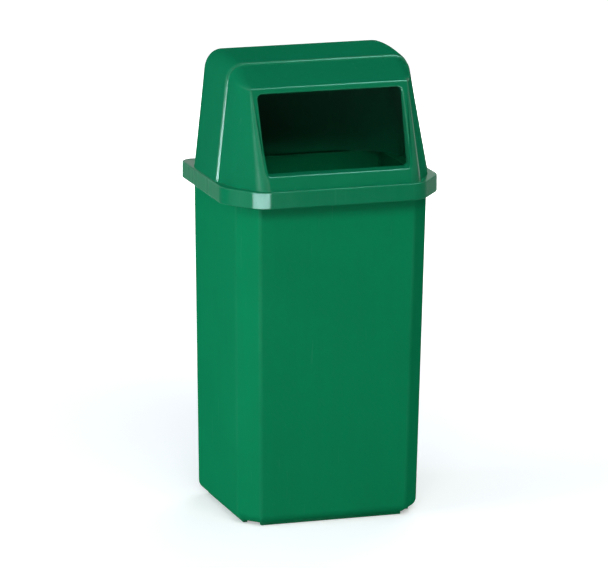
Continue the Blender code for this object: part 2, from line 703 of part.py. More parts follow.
def make_fasteners(frame, steel):
    """A screw from inside the tub, its wide washer, and a nut behind the hanger."""
    inner_wall_y = TUB_REAR - WALL
    washer_back = inner_wall_y - SEAT_GAP
    washer_front = washer_back - WASHER_THICKNESS
    head_back = washer_front - SEAT_GAP
    head_front = head_back - SCREW_HEAD_HEIGHT
    nut_front = TUB_REAR + SEAT_GAP + SHEET + SEAT_GAP
    nut_back = nut_front + NUT_HEIGHT
    tip = nut_back + SCREW_TIP_LENGTH
    crown = SCREW_HEAD_RADIUS / 2
    shoulder = head_back - SCREW_HEAD_RIM
    screw = mesh_from_rings("hanger_screw", turned_rings([
        (SCREW_SOCKET_RADIUS, head_front + SCREW_SOCKET_DEPTH),
        (SCREW_SOCKET_RADIUS, head_front),
        (crown, head_front),
        ((crown + SCREW_HEAD_RADIUS) / 2, (head_front + shoulder) / 2 - SCREW_HEAD_BULGE),
        (SCREW_HEAD_RADIUS, shoulder),
        (SCREW_HEAD_RADIUS, head_back),
        (SCREW_RADIUS, head_back),
        (SCREW_RADIUS, tip - SCREW_TIP_CHAMFER),
        (SCREW_RADIUS - SCREW_TIP_CHAMFER, tip)]))
    washer = mesh_from_rings("hanger_washer", turned_rings([
        (SCREW_HOLE_RADIUS, washer_front), (WASHER_RADIUS, washer_front),
        (WASHER_RADIUS, washer_back), (SCREW_HOLE_RADIUS, washer_back)]), closed=True)
    nut = mesh_from_rings("hanger_nut", turned_rings([(NUT_RADIUS, nut_front),
                                                      (NUT_RADIUS, nut_back)], NUT_SIDES))
    bore = mesh_from_rings("nut_bore", turned_rings([(SCREW_HOLE_RADIUS, nut_front - OVERSHOOT),
                                                     (SCREW_HOLE_RADIUS, nut_back + OVERSHOOT)]))
    spots = bolt_spots(HANGER_HOLE_HALF_SPACING, HANGER_HOLE_RISES)
    for index, (x, rise) in enumerate(spots):
        spot = (x, 0, HOOK_SEAT_Z + rise)
        for mesh in (screw, washer):
            place(f"{mesh.name}_{index + 1}", mesh, frame, steel).location = spot
        piece = place(f"{nut.name}_{index + 1}", nut, frame, steel)
        piece.location = spot
        combine(piece, bore, "DIFFERENCE", frame)
        piece.modifiers[-1].object.location = spot


def make_buffers(frame, rubber):
    """Push-in buffers that keep the tub's foot as far off the wall as its hanger."""
    head_front = TUB_REAR + SEAT_GAP
    barb_back = TUB_REAR - WALL - SEAT_GAP
    barb_front = barb_back - BUFFER_BARB_LENGTH
    profile = [(BUFFER_NECK_RADIUS / 2, barb_front),
               (BUFFER_BARB_RADIUS, barb_back - BUFFER_BARB_RIM),
               (BUFFER_BARB_RADIUS, barb_back),
               (BUFFER_NECK_RADIUS, barb_back),
               (BUFFER_NECK_RADIUS, head_front),
               (BUFFER_RADIUS, head_front)]
    for step in range(BEND_STEPS + 1):
        angle = math.pi / 2 * step / BEND_STEPS
        profile.append((BUFFER_RADIUS - BUFFER_EDGE_RADIUS * (1 - math.cos(angle)),
                        WALL_FACE_Y - BUFFER_EDGE_RADIUS * (1 - math.sin(angle))))
    mesh = mesh_from_rings("wall_buffer", turned_rings(profile))
    for index, side in enumerate((-1, 1)):
        piece = place(f"wall_buffer_{index + 1}", mesh, frame, rubber)
        piece.location = (side * BUFFER_HALF_SPACING, 0, BUFFER_HEIGHT)


def build():
    clear_scene()
    frame = bpy.data.objects.new("bin_frame", None)
    bpy.context.scene.collection.objects.link(frame)
    frame.location = (0, -WALL_FACE_Y, -MOUNT_Z)
    tub_plastic = principled("tub_plastic", GREEN, 0.34, 0.0)
    hood_plastic = principled("hood_plastic", GREEN_COVER, 0.30, 0.0)
    zinc = principled("zinc_plate", ZINC, 0.45, 1.0)
    steel = principled("bright_steel", BRIGHT_STEEL, 0.30, 1.0)
    rubber = principled("black_rubber", BLACK_RUBBER, 0.75, 0.0)
    make_tub(frame, tub_plastic)
    make_hood(frame, hood_plastic)
    make_rail(frame, zinc)
    make_hanger(frame, zinc)
    make_fasteners(frame, steel)
    make_buffers(frame, rubber)


build()
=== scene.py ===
import math

import bmesh
import bpy
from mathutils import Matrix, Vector
from mathutils.geometry import tessellate_polygon


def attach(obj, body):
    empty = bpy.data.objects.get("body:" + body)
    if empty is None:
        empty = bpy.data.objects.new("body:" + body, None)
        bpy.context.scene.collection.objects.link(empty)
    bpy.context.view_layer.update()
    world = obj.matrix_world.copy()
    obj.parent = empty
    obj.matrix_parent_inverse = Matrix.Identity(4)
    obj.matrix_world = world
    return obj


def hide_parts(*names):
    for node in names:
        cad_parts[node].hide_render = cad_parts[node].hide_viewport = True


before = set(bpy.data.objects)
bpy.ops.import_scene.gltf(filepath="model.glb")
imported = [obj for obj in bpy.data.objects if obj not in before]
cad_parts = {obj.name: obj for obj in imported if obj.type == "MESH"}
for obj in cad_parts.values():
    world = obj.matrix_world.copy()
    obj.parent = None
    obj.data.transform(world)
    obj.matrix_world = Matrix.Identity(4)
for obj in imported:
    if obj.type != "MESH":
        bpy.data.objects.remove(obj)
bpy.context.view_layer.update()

# The bin's own frame stands on the floor under the middle of the rim, mouth towards -Y
WALL_FACE_Y = 0.157
MOUNT_Z = 0.417
TO_WORLD = Vector((0.0, -WALL_FACE_Y, -MOUNT_Z))

# Rim of the cover
RIM_HALF_WIDTH = 0.190
RIM_HALF_DEPTH = 0.1525
RIM_CHAMFER_X = 0.0485
RIM_CHAMFER_Y = 0.063
RIM_SIDE_RADIUS = 0.050
RIM_FRONT_RADIUS = 0.040
RIM_REAR_RADIUS = 0.022
RIM_BOTTOM_Z = 0.553
RIM_TOP_Z = 0.581
RIM_EDGE_RADIUS = 0.002
RIM_LOWER_EDGE = 0.001

# Moulded walls
WALL = 0.003
SEAT_GAP = 0.0003
SMALLEST_RADIUS = 0.0006

# Tub
TUB_TOP_HALF_WIDTH = 0.1675
TUB_BASE_HALF_WIDTH = 0.1591
TUB_TOP_FRONT = 0.1287
TUB_BASE_FRONT = 0.1138
TUB_REAR = 0.143
TUB_CHAMFER_X = 0.0315
TUB_CHAMFER_Y = 0.0356
TUB_FRONT_RADIUS = 0.009
TUB_REAR_RADIUS = 0.006
TUB_BASE_FILLET = 0.0165
FOOT_HEIGHT = 0.004
FOOT_WIDTH = 0.008
FOOT_CORNER_GAP = 0.004
FOOT_CORNER_RADIUS = 0.0012
FLANGE_EDGE_INSET = 0.004
FLANGE_EDGE_RADIUS = 0.0008
FLANGE_INNER_RADIUS = 0.0015
FLANGE_TOP_Z = RIM_TOP_Z - WALL - SEAT_GAP

# Cover above the rim
TOP_Z = 0.780
HOOD_BASE_HALF_WIDTH = 0.1865
HOOD_SIDE_DRAFT = math.radians(8.48)
HOOD_REAR = 0.146
HOOD_REAR_BASE_RADIUS = 0.082
HOOD_REAR_TOP_RADIUS = 0.050
HOOD_TOP_EDGE_RADIUS = 0.027
HOOD_REAR_EDGE_RADIUS = 0.055
HOOD_ROOT_FLARE = 0.001
HOOD_ROOT_HEIGHT = 0.006
HOOD_ROOT_OVERLAP = 0.002
HOOD_ROOT_STEPS = 6
ARCH_BASE_Y = -0.0449
ARCH_LEAN = math.radians(7.83)
HOOD_CROWN = 0.0065
CROWN_TURN = math.radians(135)
ARCH_CORNER_RADIUS = 0.031
ARCH_STEP = 0.0044
ARCH_EDGE_RADIUS = 0.0042
FLANK_RIDGE_SHARE = 0.085
FLANK_RIDGE_SPOT = 0.5
FLANK_RIDGE_SOFTNESS = 0.16

# Leaning frame round the mouth
FRAME_HALF_WIDTH = 0.1373
FRAME_BASE_Y = -0.145
FRAME_LEAN = math.radians(23.05)
FRAME_TOP_Z = 0.7405
FRAME_CORNER_RADIUS = 0.003
FRAME_EDGE_TOP_REACH = 0.002
FRAME_EDGE_BASE_REACH = 0.016
MOUTH_HALF_WIDTH = 0.126
MOUTH_BOTTOM_Z = 0.6038
MOUTH_TOP_Z = 0.7315
MOUTH_CORNER_RADIUS = 0.008
MOUTH_EDGE_RADIUS = 0.0025
MOUTH_TOP_DEPTH = 0.009
MOUTH_BOTTOM_DEPTH = 0.026
LIP_END_RADIUS = 0.0012

# Hanger, its fasteners and the buffers
HOOK_DROP = 0.083
HOOK_SEAT_Z = RIM_BOTTOM_Z - HOOK_DROP
HANGER_HOLE_HALF_SPACING = 0.075
HANGER_HOLE_RISES = (0.018, 0.046)
SHEET = 0.0025
SHEET_EDGE = 0.0003
SHEET_EDGE_STEPS = 2
SHEET_EDGE_ANGLE = math.radians(40)
SCREW_RADIUS = 0.003
SCREW_HOLE_RADIUS = 0.0033
SCREW_HEAD_RADIUS = 0.006
SCREW_HEAD_HEIGHT = 0.0033
SCREW_HEAD_RIM = 0.0011
SCREW_SOCKET_RADIUS = 0.0023
SCREW_SOCKET_DEPTH = 0.0019
SCREW_SOCKET_BEVEL = 0.0002
SCREW_EDGE = 0.0002
SCREW_PITCH = 0.001
SCREW_THREAD_DEPTH = 0.0004
SCREW_TIP_CHAMFER = 0.0005
SCREW_TIP_LENGTH = 0.0015
SOCKET_POINT_RADIUS = 0.0002
WASHER_RADIUS = 0.010
WASHER_THICKNESS = 0.0015
WASHER_EDGE = 0.0003
WASHER_EDGE_SAG = WASHER_EDGE / 3
WASHER_BACK = TUB_REAR - WALL - SEAT_GAP
SCREW_HEAD_BACK = WASHER_BACK - WASHER_THICKNESS - SEAT_GAP
NUT_RADIUS = 0.00577
NUT_HEIGHT = 0.005
NUT_CHAMFER = 0.0006
NUT_BORE_BEVEL = 0.0003
NUT_FRONT = TUB_REAR + SEAT_GAP + SHEET + SEAT_GAP
SCREW_TIP = NUT_FRONT + NUT_HEIGHT + SCREW_TIP_LENGTH
BUFFER_RADIUS = 0.015
BUFFER_NECK_RADIUS = 0.004
BUFFER_BARB_RADIUS = 0.0065
BUFFER_BARB_LENGTH = 0.006
BUFFER_BARB_RIM = 0.002
BUFFER_BARB_EDGE = 0.0004
BUFFER_EDGE_RADIUS = 0.0015
BUFFER_DISH_DEPTH = 0.0006
BUFFER_HALF_SPACING = 0.105
BUFFER_HEIGHT = 0.065
BUFFER_WALL_GAP = SEAT_GAP / 3
TURN_SEGMENTS = 48
HEXAGON_HALF_SIDE = math.radians(30)
HEAD_STEPS = 8
THREAD_STEPS = 6
NUT_CHAMFER_STEPS = 3

# Edge attribute: 1 on roundings up to the sharp radius, 0 beyond the soft one.
# Faces of at least the material share get the edge's own material.
EDGE_ATTRIBUTE = "edge"
EDGE_SHARP_RADIUS = 0.005
EDGE_SOFT_RADIUS = 0.014
EDGE_MATERIAL_SHARE = 0.5
SMALLEST_SPAN = 1e-6

# Wide roundings that are glossy as edges are: the frame's, and two corners of the rim's plan
FRAME_EDGE_GLOSS = 0.6
RIM_FRONT_CORNERS = (2, 3)

# Colours and finishes
TUB_GREEN = (0.0006, 0.190, 0.071)
COVER_GREEN = (0.0006, 0.158, 0.064)
WORN_GREEN = (0.10, 0.30, 0.21)
ZINC = (0.42, 0.44, 0.45)
BRIGHT_STEEL = (0.56, 0.57, 0.58)
BLACK_RUBBER = (0.012, 0.012, 0.013)

# Below a real plastic's 1.5, which washes the green out in white surroundings
TUB_IOR = 1.04
COVER_IOR = 1.05
EDGE_IOR = 1.13
RIM_IOR = 1.07
RIM_EDGE_IOR = 1.11
TUB_ROUGHNESS = 0.95
TUB_EDGE_ROUGHNESS = 0.45
COVER_ROUGHNESS = 0.95
COVER_EDGE_ROUGHNESS = 0.14
RIM_ROUGHNESS = 0.3
RIM_EDGE_ROUGHNESS = 0.2

# Noises: scale, detail, stretch along the axes, distortion
CLOUDS = (9, 3)
SPECKLE = (260, 2)
STREAKS = (60, 2, (1, 1, 0.05), 0.4)
SCUFFS = (160, 4, (1, 1, 0.06), 0.2)
PEEL = (70, 2)
GRAIN = (1300, 2)
ZINC_CLOUDS = (26, 4, None, 0.6)
ZINC_CRYSTAL_SCALE = 210
ZINC_LINES = (55, 3, (0.04, 14, 14))
ZINC_SPOTS = (70, 3)
ZINC_GRAIN = (900, 2)
STEEL_CLOUDS = (160, 3)
STEEL_TURNING = (900, 2, (0.3, 5, 0.3))
RUBBER_CLOUDS = (90, 4)
RUBBER_PORES = (1500, 2)

# Stretches of a noise's values that a pattern uses
WHOLE = (0, 1)
MIDDLE = (0.3, 0.7)
NARROW = (0.35, 0.65)
SCUFFED = (0.66, 0.72)
RUBBED = (0.4, 0.62)
SPOTTED = (0.62, 0.74)
DUSTY = (0.5, 0.7)

# Bumps: distance, strength
PEEL_BUMP = (0.0004, 0.06)
GRAIN_BUMP = (0.00005, 0.35)
SCUFF_BUMP = (0.00003, 0.3)
ZINC_LINE_BUMP = (0.00004, 0.3)
ZINC_GRAIN_BUMP = (0.00002, 0.3)
TURNING_BUMP = (0.00003, 0.3)
PORE_BUMP = (0.00005, 0.5)

# Plastic: how much each pattern tells in tone, wear and roughness
PIGMENT_SPREAD = 0.05
CLOUD_TONE = 0.55
SPECKLE_TONE = 0.2
STREAK_TONE = 0.25
LEAST_RUB = 0.15
EDGE_WEAR = 0.12
SCUFF_WEAR = 0.06
STREAK_ROUGHNESS = 0.04
SCUFF_GLOSS = 0.08

# Zinc plate, bright steel and rubber: shades are factors of the colour
ZINC_SHADES = (0.72, 1.12)
ZINC_CLOUD_TONE = 0.5
ZINC_CRYSTAL_TONE = 0.22
ZINC_LINE_TONE = 0.28
ZINC_SPOT_SHARE = 0.6
ZINC_SPOT_SHADE = 0.55
ZINC_ROUGHNESS = (0.36, 0.5)
ZINC_LINE_ROUGHNESS = 0.08
STEEL_SHADES = (0.8, 1.1)
STEEL_RUB = 0.4
STEEL_RUB_SHADE = 1.35
STEEL_ROUGHNESS = (0.22, 0.34)
TURNING_ROUGHNESS = 0.1
RUBBER_DUST = (0.05, 0.048, 0.045)
RUBBER_DUST_SHARE = 0.35
RUBBED_RUBBER = (0.04, 0.04, 0.04)
RUBBER_RUB = 0.3
RUBBER_ROUGHNESS = (0.62, 0.85)
RUBBER_SPECULAR = 0.3

# Steps of the round stretches
CORNER_STEPS = 16
ARC_STEPS = 20
FILLET_STEPS = 8
EDGE_STEPS = 12
FLANK_STEPS = 24
REAR_STEPS = 28
CROWN_STEPS = 10
ARCH_EDGE_STEPS = 7

MERGE_DISTANCE = 0.000004
SHARP_ANGLE = math.radians(35)
CORNER_LIMIT_SHARE = 0.49

# Camera that matches the photograph: degrees left of the front and above it
CAMERA_AZIMUTH = 18.236
CAMERA_ELEVATION = 13.208
CAMERA_ROLL = math.radians(0.281)
CAMERA_DISTANCE = 9.264
CAMERA_TARGET = Vector((-0.01676, 0.0, 0.38582))
CAMERA_PIVOT = Vector((0.0, 0.0, 0.376))
CAMERA_LENS = 325.66
CAMERA_REACH = 100.0
SENSOR_WIDTH = 36.0

# Lamps: name, azimuth, elevation, distance, size, power, colour, what they light
LIGHT_TARGET = Vector((0.0, 0.0, 0.42))
LIGHTS = [
    ("left", 84, 12, 3.6, (2.0, 2.0), 72, (0.9, 1.0, 1.08), "all"),
    ("left_front", 40, 16, 3.6, (2.0, 2.0), 13, (0.9, 1.0, 1.08), "all"),
    ("front_top", 6, 42, 3.6, (2.4, 1.2), 68, (1.0, 1.0, 0.97), "all"),
    ("top", 0, 82, 3.0, (2.0, 1.0), 8, (0.7, 1.0, 1.5), "all"),
    ("right", -60, 10, 3.6, (1.4, 2.0), 3, (1.0, 1.0, 1.0), "all"),
    ("right_rear", -148, 12, 3.6, (2.0, 2.0), 84, (1.0, 1.0, 1.0), "faces"),
    ("corner_gloss", 36, 3, 1.5, (2.4, 0.9), 820, (0.9, 1.0, 1.18), "gloss"),
    ("top_gloss", -67, 64, 1.47, (0.7, 0.8), 90, (0.5, 1.0, 1.0), "gloss"),
]
WHITE = (1.0, 1.0, 1.0)
AMBIENT_COLOUR = (0.9, 1.0, 1.1)
AMBIENT_STRENGTH = 0.15
FLOOR_COLOUR = (0.8, 0.8, 0.8)
FLOOR_HALF_SIZE = 30
FLOOR_GAP = 0.0005
FLOOR_GLOW = (0.4, 1.0)
FLOOR_GLOW_REACH = (0.4, 4.5)


# Outlines

def quarter_turn(steps):
    """Angles from 0 to 90 degrees."""
    return [math.pi / 2 * step / steps for step in range(steps + 1)]


def inset_corners(corners, distance):
    """Move every side of a convex outline inwards; corners are (x, y, radius)."""
    moved = []
    for index, (x, y, radius) in enumerate(corners):
        here = Vector((x, y))
        before = (here - Vector(corners[index - 1][:2])).normalized()
        after = (Vector(corners[(index + 1) % len(corners)][:2]) - here).normalized()
        normal_before = Vector((-before.y, before.x))
        normal_after = Vector((-after.y, after.x))
        miter = (normal_before + normal_after) / (1 + normal_before.dot(normal_after))
        spot = here + miter * distance
        moved.append((spot.x, spot.y, max(radius - distance, SMALLEST_RADIUS)))
    return moved


def corner_arc(before_point, here, after_point, radius, steps):
    """Points of the arc that rounds one corner of a line."""
    before = here - before_point
    after = after_point - here
    room = CORNER_LIMIT_SHARE * min(before.length, after.length)
    before.normalize()
    after.normalize()
    turn = math.atan2(before.x * after.y - before.y * after.x, before.dot(after))
    half_tangent = math.tan(abs(turn) / 2)
    radius = min(radius, room / half_tangent)
    start = here - before * (radius * half_tangent)
    towards_centre = Vector((-before.y, before.x)) * math.copysign(radius, turn)
    centre = start + towards_centre
    points = []
    for step in range(steps + 1):
        angle = turn * step / steps
        arm = -towards_centre
        points.append(centre + Vector((
            arm.x * math.cos(angle) - arm.y * math.sin(angle),
            arm.x * math.sin(angle) + arm.y * math.cos(angle))))
    return points


def rounded_outline(corners, steps):
    """Closed outline with an arc at every corner."""
    points = []
    for index, (x, y, radius) in enumerate(corners):
        before_point = Vector(corners[index - 1][:2])
        after_point = Vector(corners[(index + 1) % len(corners)][:2])
        points += corner_arc(before_point, Vector((x, y)), after_point, radius, steps)
    return points


def rectangle_corners(low_x, high_x, low_y, high_y, radius):
    return [(low_x, high_y, radius), (low_x, low_y, radius),
            (high_x, low_y, radius), (high_x, high_y, radius)]


def chamfered_corners(half_width, front, rear, chamfer, radii):
    """Plan of the tub or the rim; radii of the rear, side and front corners."""
    chamfer_x, chamfer_y = chamfer
    rear_radius, side_radius, front_radius = radii
    return [(-half_width, rear, rear_radius),
            (-half_width, -front + chamfer_y, side_radius),
            (-half_width + chamfer_x, -front, front_radius),
            (half_width - chamfer_x, -front, front_radius),
            (half_width, -front + chamfer_y, side_radius),
            (half_width, rear, rear_radius)]


# Meshes

def add_object(name, data):
    piece = bpy.data.objects.new(name, data)
    bpy.context.scene.collection.objects.link(piece)
    return piece


class Skin:
    """A mesh under construction: strips between rings, and flat caps with holes."""

    def __init__(self):
        self.shape = bmesh.new()
        self.burnished = self.shape.verts.layers.float.new("burnished")

    def ring(self, points):
        return [self.shape.verts.new(Vector(point) + TO_WORLD) for point in points]

    def strip(self, lower, upper, wrap=True):
        count = len(lower) if wrap else len(lower) - 1
        for index in range(count):
            following = (index + 1) % len(lower)
            corners = (lower[index], lower[following], upper[following], upper[index])
            self.shape.faces.new(corners)

    def loft(self, rings, wrap=True):
        loops = [self.ring(points) for points in rings]
        for lower, upper in zip(loops, loops[1:]):
            self.strip(lower, upper, wrap)
        return loops

    def solid(self, rings):
        """Closed form, with a flat cap at each end of the rings."""
        loops = self.loft(rings)
        self.cap(loops[0])
        self.cap(loops[-1])

    def burnish(self, loops, share):
        """Mark rings of a wide rounding as an edge that is as glossy as the share says."""
        for loop in loops:
            for vertex in loop:
                vertex[self.burnished] = share

    def cap(self, *loops):
        """Flat face inside the first loop, with the other loops as holes."""
        flat = [vertex for loop in loops for vertex in loop]
        for corners in tessellate_polygon([[vertex.co for vertex in loop] for loop in loops]):
            self.shape.faces.new([flat[index] for index in corners])

    @staticmethod
    def edge_share(vertex):
        """How much of a rounded edge a vertex lies on, from the bend at its links."""
        sharpest = 0
        for link in vertex.link_edges:
            if len(link.link_faces) != 2:
                continue
            first, second = link.link_faces
            bend = link.calc_face_angle_signed(0)
            length = max(link.calc_length(), SMALLEST_SPAN)
            width = (first.calc_area() + second.calc_area()) / (2 * length)
            sharpest = max(sharpest, bend / max(width, SMALLEST_SPAN))
        soft = 1 / EDGE_SOFT_RADIUS
        share = (sharpest - soft) / (1 / EDGE_SHARP_RADIUS - soft)
        return min(max(share, 0), 1)

    def finish(self, name, body, material, slot, *nodes, edge_material=None):
        """Make the piece that rides on the body and, where nodes are named, replaces them."""
        bmesh.ops.remove_doubles(self.shape, verts=self.shape.verts, dist=MERGE_DISTANCE)
        bmesh.ops.recalc_face_normals(self.shape, faces=self.shape.faces)
        edges = [max(self.edge_share(vertex), vertex[self.burnished]) for vertex in self.shape.verts]
        self.shape.verts.layers.float.remove(self.burnished)
        mesh = bpy.data.meshes.new(name)
        self.shape.to_mesh(mesh)
        self.shape.free()
        mesh.attributes.new(EDGE_ATTRIBUTE, "FLOAT", "POINT").data.foreach_set("value", edges)
        mesh.shade_smooth()
        mesh.set_sharp_from_angle(angle=SHARP_ANGLE)
        assign_materials(mesh, edges, material, edge_material)
        piece = add_object(name, mesh)
        weights = piece.modifiers.new("weighted_normals", "WEIGHTED_NORMAL")
        weights.keep_sharp = True
        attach(piece, body)
        if nodes:
            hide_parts(*nodes)


def assign_materials(mesh, edges, material, edge_material):
    """One material all over, or a second one on the faces that lie on an edge."""
    mesh.materials.append(material)
    if not edge_material:
        return
    mesh.materials.append(edge_material)
    for face in mesh.polygons:
        if max(edges[index] for index in face.vertices) >= EDGE_MATERIAL_SHARE:
            face.material_index = 1


def level_rings(levels, corners_at, steps=CORNER_STEPS):
    """Rings of a plan outline; a level is (inset, height)."""
    rings = []
    for inset, height in levels:
        outline = rounded_outline(corners_at(inset, height), steps)
        rings.append([(point.x, point.y, height) for point in outline])
    return rings


def quarter_levels(inset, height, radius, start_angle, way):
    """Levels round a quarter circle about (inset, height); the way round is 1 or -1."""
    angles = [start_angle + angle * way for angle in quarter_turn(FILLET_STEPS)]
    return [(inset + radius * math.cos(angle), height + radius * math.sin(angle))
            for angle in angles]


# Tub

def tub_corners(inset, height):
    share = height / RIM_BOTTOM_Z
    half_width = TUB_BASE_HALF_WIDTH + (TUB_TOP_HALF_WIDTH - TUB_BASE_HALF_WIDTH) * share
    front = TUB_BASE_FRONT + (TUB_TOP_FRONT - TUB_BASE_FRONT) * share
    corners = chamfered_corners(half_width, front, TUB_REAR, (TUB_CHAMFER_X, TUB_CHAMFER_Y),
                                (TUB_REAR_RADIUS, TUB_FRONT_RADIUS, TUB_FRONT_RADIUS))
    return inset_corners(corners, inset)


def rim_corners(inset, height):
    corners = chamfered_corners(RIM_HALF_WIDTH, RIM_HALF_DEPTH, RIM_HALF_DEPTH,
                                (RIM_CHAMFER_X, RIM_CHAMFER_Y),
                                (RIM_REAR_RADIUS, RIM_SIDE_RADIUS, RIM_FRONT_RADIUS))
    return inset_corners(corners, inset)


def make_tub(material):
    inner_fillet = TUB_BASE_FILLET - WALL
    outside = quarter_levels(TUB_BASE_FILLET, FOOT_HEIGHT + TUB_BASE_FILLET,
                             TUB_BASE_FILLET, -math.pi / 2, -1)
    outside.append((0, FLANGE_TOP_Z - WALL))
    flange = [(FLANGE_EDGE_INSET, FLANGE_TOP_Z - WALL),
              (FLANGE_EDGE_INSET, FLANGE_TOP_Z - FLANGE_EDGE_RADIUS),
              (FLANGE_EDGE_INSET + FLANGE_EDGE_RADIUS, FLANGE_TOP_Z)]
    inside = quarter_levels(WALL - FLANGE_INNER_RADIUS, FLANGE_TOP_Z - FLANGE_INNER_RADIUS,
                            FLANGE_INNER_RADIUS, math.pi / 2, -1)
    inside += quarter_levels(WALL + inner_fillet, FOOT_HEIGHT + TUB_BASE_FILLET,
                             inner_fillet, math.pi, 1)
    rings = (level_rings(outside, tub_corners) + level_rings(flange, rim_corners)
             + level_rings(inside, tub_corners))
    skin = Skin()
    skin.solid(rings)
    for sides in foot_bars():
        add_foot_bar(skin, sides)
    skin.finish("tub_moulding", "bin", material, "tub_plastic", "tub")


def add_foot_bar(skin, sides):
    """Bar with rounded corners that runs up into the tub's base."""
    corners = rectangle_corners(*sides, FOOT_CORNER_RADIUS)
    edge = FOOT_CORNER_RADIUS / 2
    levels = ((edge, 0), (0, edge), (0, FOOT_HEIGHT + WALL / 2))
    skin.solid(level_rings(levels, lambda inset, height: inset_corners(corners, inset),
                           FILLET_STEPS))


def foot_bars():
    """Sides of the bars: low and high x, low and high y. None lies under a chamfer."""
    inside = TUB_BASE_FILLET - FOOT_WIDTH / 2
    half_width = TUB_BASE_HALF_WIDTH - inside
    front = TUB_BASE_FRONT - inside
    rear = TUB_REAR - inside
    side_front = -TUB_BASE_FRONT + TUB_CHAMFER_Y + FOOT_CORNER_GAP
    front_half = TUB_BASE_HALF_WIDTH - TUB_CHAMFER_X - FOOT_CORNER_GAP
    rear_half = half_width - FOOT_WIDTH - FOOT_CORNER_GAP
    side_rear = rear - FOOT_CORNER_GAP
    return [(-front_half, front_half, -front, -front + FOOT_WIDTH),
            (-rear_half, rear_half, rear - FOOT_WIDTH, rear),
            (-half_width, -half_width + FOOT_WIDTH, side_front, side_rear),
            (half_width - FOOT_WIDTH, half_width, side_front, side_rear)]


# Cover

def arch_y(height):
    return ARCH_BASE_Y + (height - RIM_TOP_Z) * math.tan(ARCH_LEAN)


def frame_y(height):
    return FRAME_BASE_Y + (height - RIM_TOP_Z) * math.tan(FRAME_LEAN)


def hood_half_width(height):
    return HOOD_BASE_HALF_WIDTH - (height - RIM_TOP_Z) * math.tan(HOOD_SIDE_DRAFT)


def hood_rear_radius(height):
    share = (height - RIM_TOP_Z) / (TOP_Z - RIM_TOP_Z)
    return HOOD_REAR_BASE_RADIUS + (HOOD_REAR_TOP_RADIUS - HOOD_REAR_BASE_RADIUS) * share


def section(half_width_at, root_z, top_z, corner_radius, flare):
    """Half of a section of the cover, from its root up to its top.

    Each point is (x, z, inward x, inward z), on the side towards -X.
    """
    points = [(-half_width_at(RIM_TOP_Z) - flare, root_z, 1, 0)]
    for angle in quarter_turn(HOOD_ROOT_STEPS):
        height = RIM_TOP_Z + HOOD_ROOT_HEIGHT * (1 - math.cos(angle))
        spread = flare * (1 - math.sin(angle))
        points.append((-half_width_at(height) - spread, height, 1, 0))
    below = Vector((-half_width_at(RIM_TOP_Z), RIM_TOP_Z))
    vertex = Vector((-half_width_at(top_z), top_z))
    arc = corner_arc(below, vertex, Vector((0, top_z)), corner_radius, ARC_STEPS)
    for angle, point in zip(quarter_turn(ARC_STEPS), arc):
        points.append((point.x, point.y, math.cos(angle), -math.sin(angle)))
    return points


def whole(half):
    """Both halves of a section, from the root at -X over the top to the root at +X."""
    return half + [(-x, z, -inward_x, inward_z) for x, z, inward_x, inward_z in reversed(half)]


def flank_turn():
    """Angle in plan between the front and a flank of the cover."""
    depth = arch_y(RIM_TOP_Z) - frame_y(RIM_TOP_Z)
    return math.atan2(depth, HOOD_BASE_HALF_WIDTH - ARCH_STEP - FRAME_HALF_WIDTH)


def ridge_share(share):
    """How far the flank stands out from its chord: two slopes that meet in a soft ridge."""
    slope = FLANK_RIDGE_SHARE / FLANK_RIDGE_SPOT
    from_ridge = abs(share - FLANK_RIDGE_SPOT)
    if from_ridge < FLANK_RIDGE_SOFTNESS:
        from_ridge = (from_ridge ** 2 / FLANK_RIDGE_SOFTNESS + FLANK_RIDGE_SOFTNESS) / 2
    return FLANK_RIDGE_SHARE - slope * from_ridge


def hood_rings(inset, root_z):
    """Sections from the mouth's frame back to the wall side, moved inwards by inset."""
    flare = 0 if inset > 0 else HOOD_ROOT_FLARE
    arch_shift = inset * math.tan((math.pi / 2 - flank_turn()) / 2)
    frame_section = frame_edge_section(inset, root_z)
    frame_shift = inset / math.cos(FRAME_LEAN)
    frame_line = [Vector((x, frame_y(z) + frame_shift, z)) for x, z, _, _ in frame_section]
    arch = arch_section(inset, root_z, ARCH_STEP, flare)
    arch_line = [Vector((x, arch_y(z) + arch_shift, z)) for x, z, _, _ in arch]
    rings = frame_edge_rings(inset, frame_section, frame_line, arch_line)
    rings += flank_rings(rings[-1], arch_line, frame_section)
    for angle in quarter_turn(ARCH_EDGE_STEPS):
        step_inset = ARCH_EDGE_RADIUS * (1 - math.sin(angle))
        back = arch_shift + ARCH_EDGE_RADIUS * (1 - math.cos(angle))
        raised = arch_section(inset, root_z, step_inset, flare)
        rings.append([Vector((x, arch_y(z) + back, z)) for x, z, _, _ in raised])
    for step in range(1, CROWN_STEPS):
        rings.append(crown_ring(inset, root_z, step / CROWN_STEPS, flare))
    for step in range(REAR_STEPS + 1):
        angle = math.pi / 2 * (1 - step / REAR_STEPS)
        rings.append(rear_ring(inset, root_z, angle, flare))
    return rings


def frame_edge_section(inset, root_z):
    """Upright section through the corner between the frame and the flanks."""
    half_width = FRAME_HALF_WIDTH - inset * math.tan(flank_turn() / 2)
    radius = max(FRAME_CORNER_RADIUS - inset, SMALLEST_RADIUS)
    return whole(section(lambda height: half_width, root_z, FRAME_TOP_Z - inset, radius, 0))


def arch_section(inset, root_z, step_inset, flare):
    """Section at the arch, moved inwards by inset and once more by its step."""
    def half_width(height):
        return hood_half_width(height) - inset - step_inset

    return whole(section(half_width, root_z, TOP_Z - HOOD_CROWN - step_inset - inset,
                         ARCH_CORNER_RADIUS - step_inset - inset, flare))


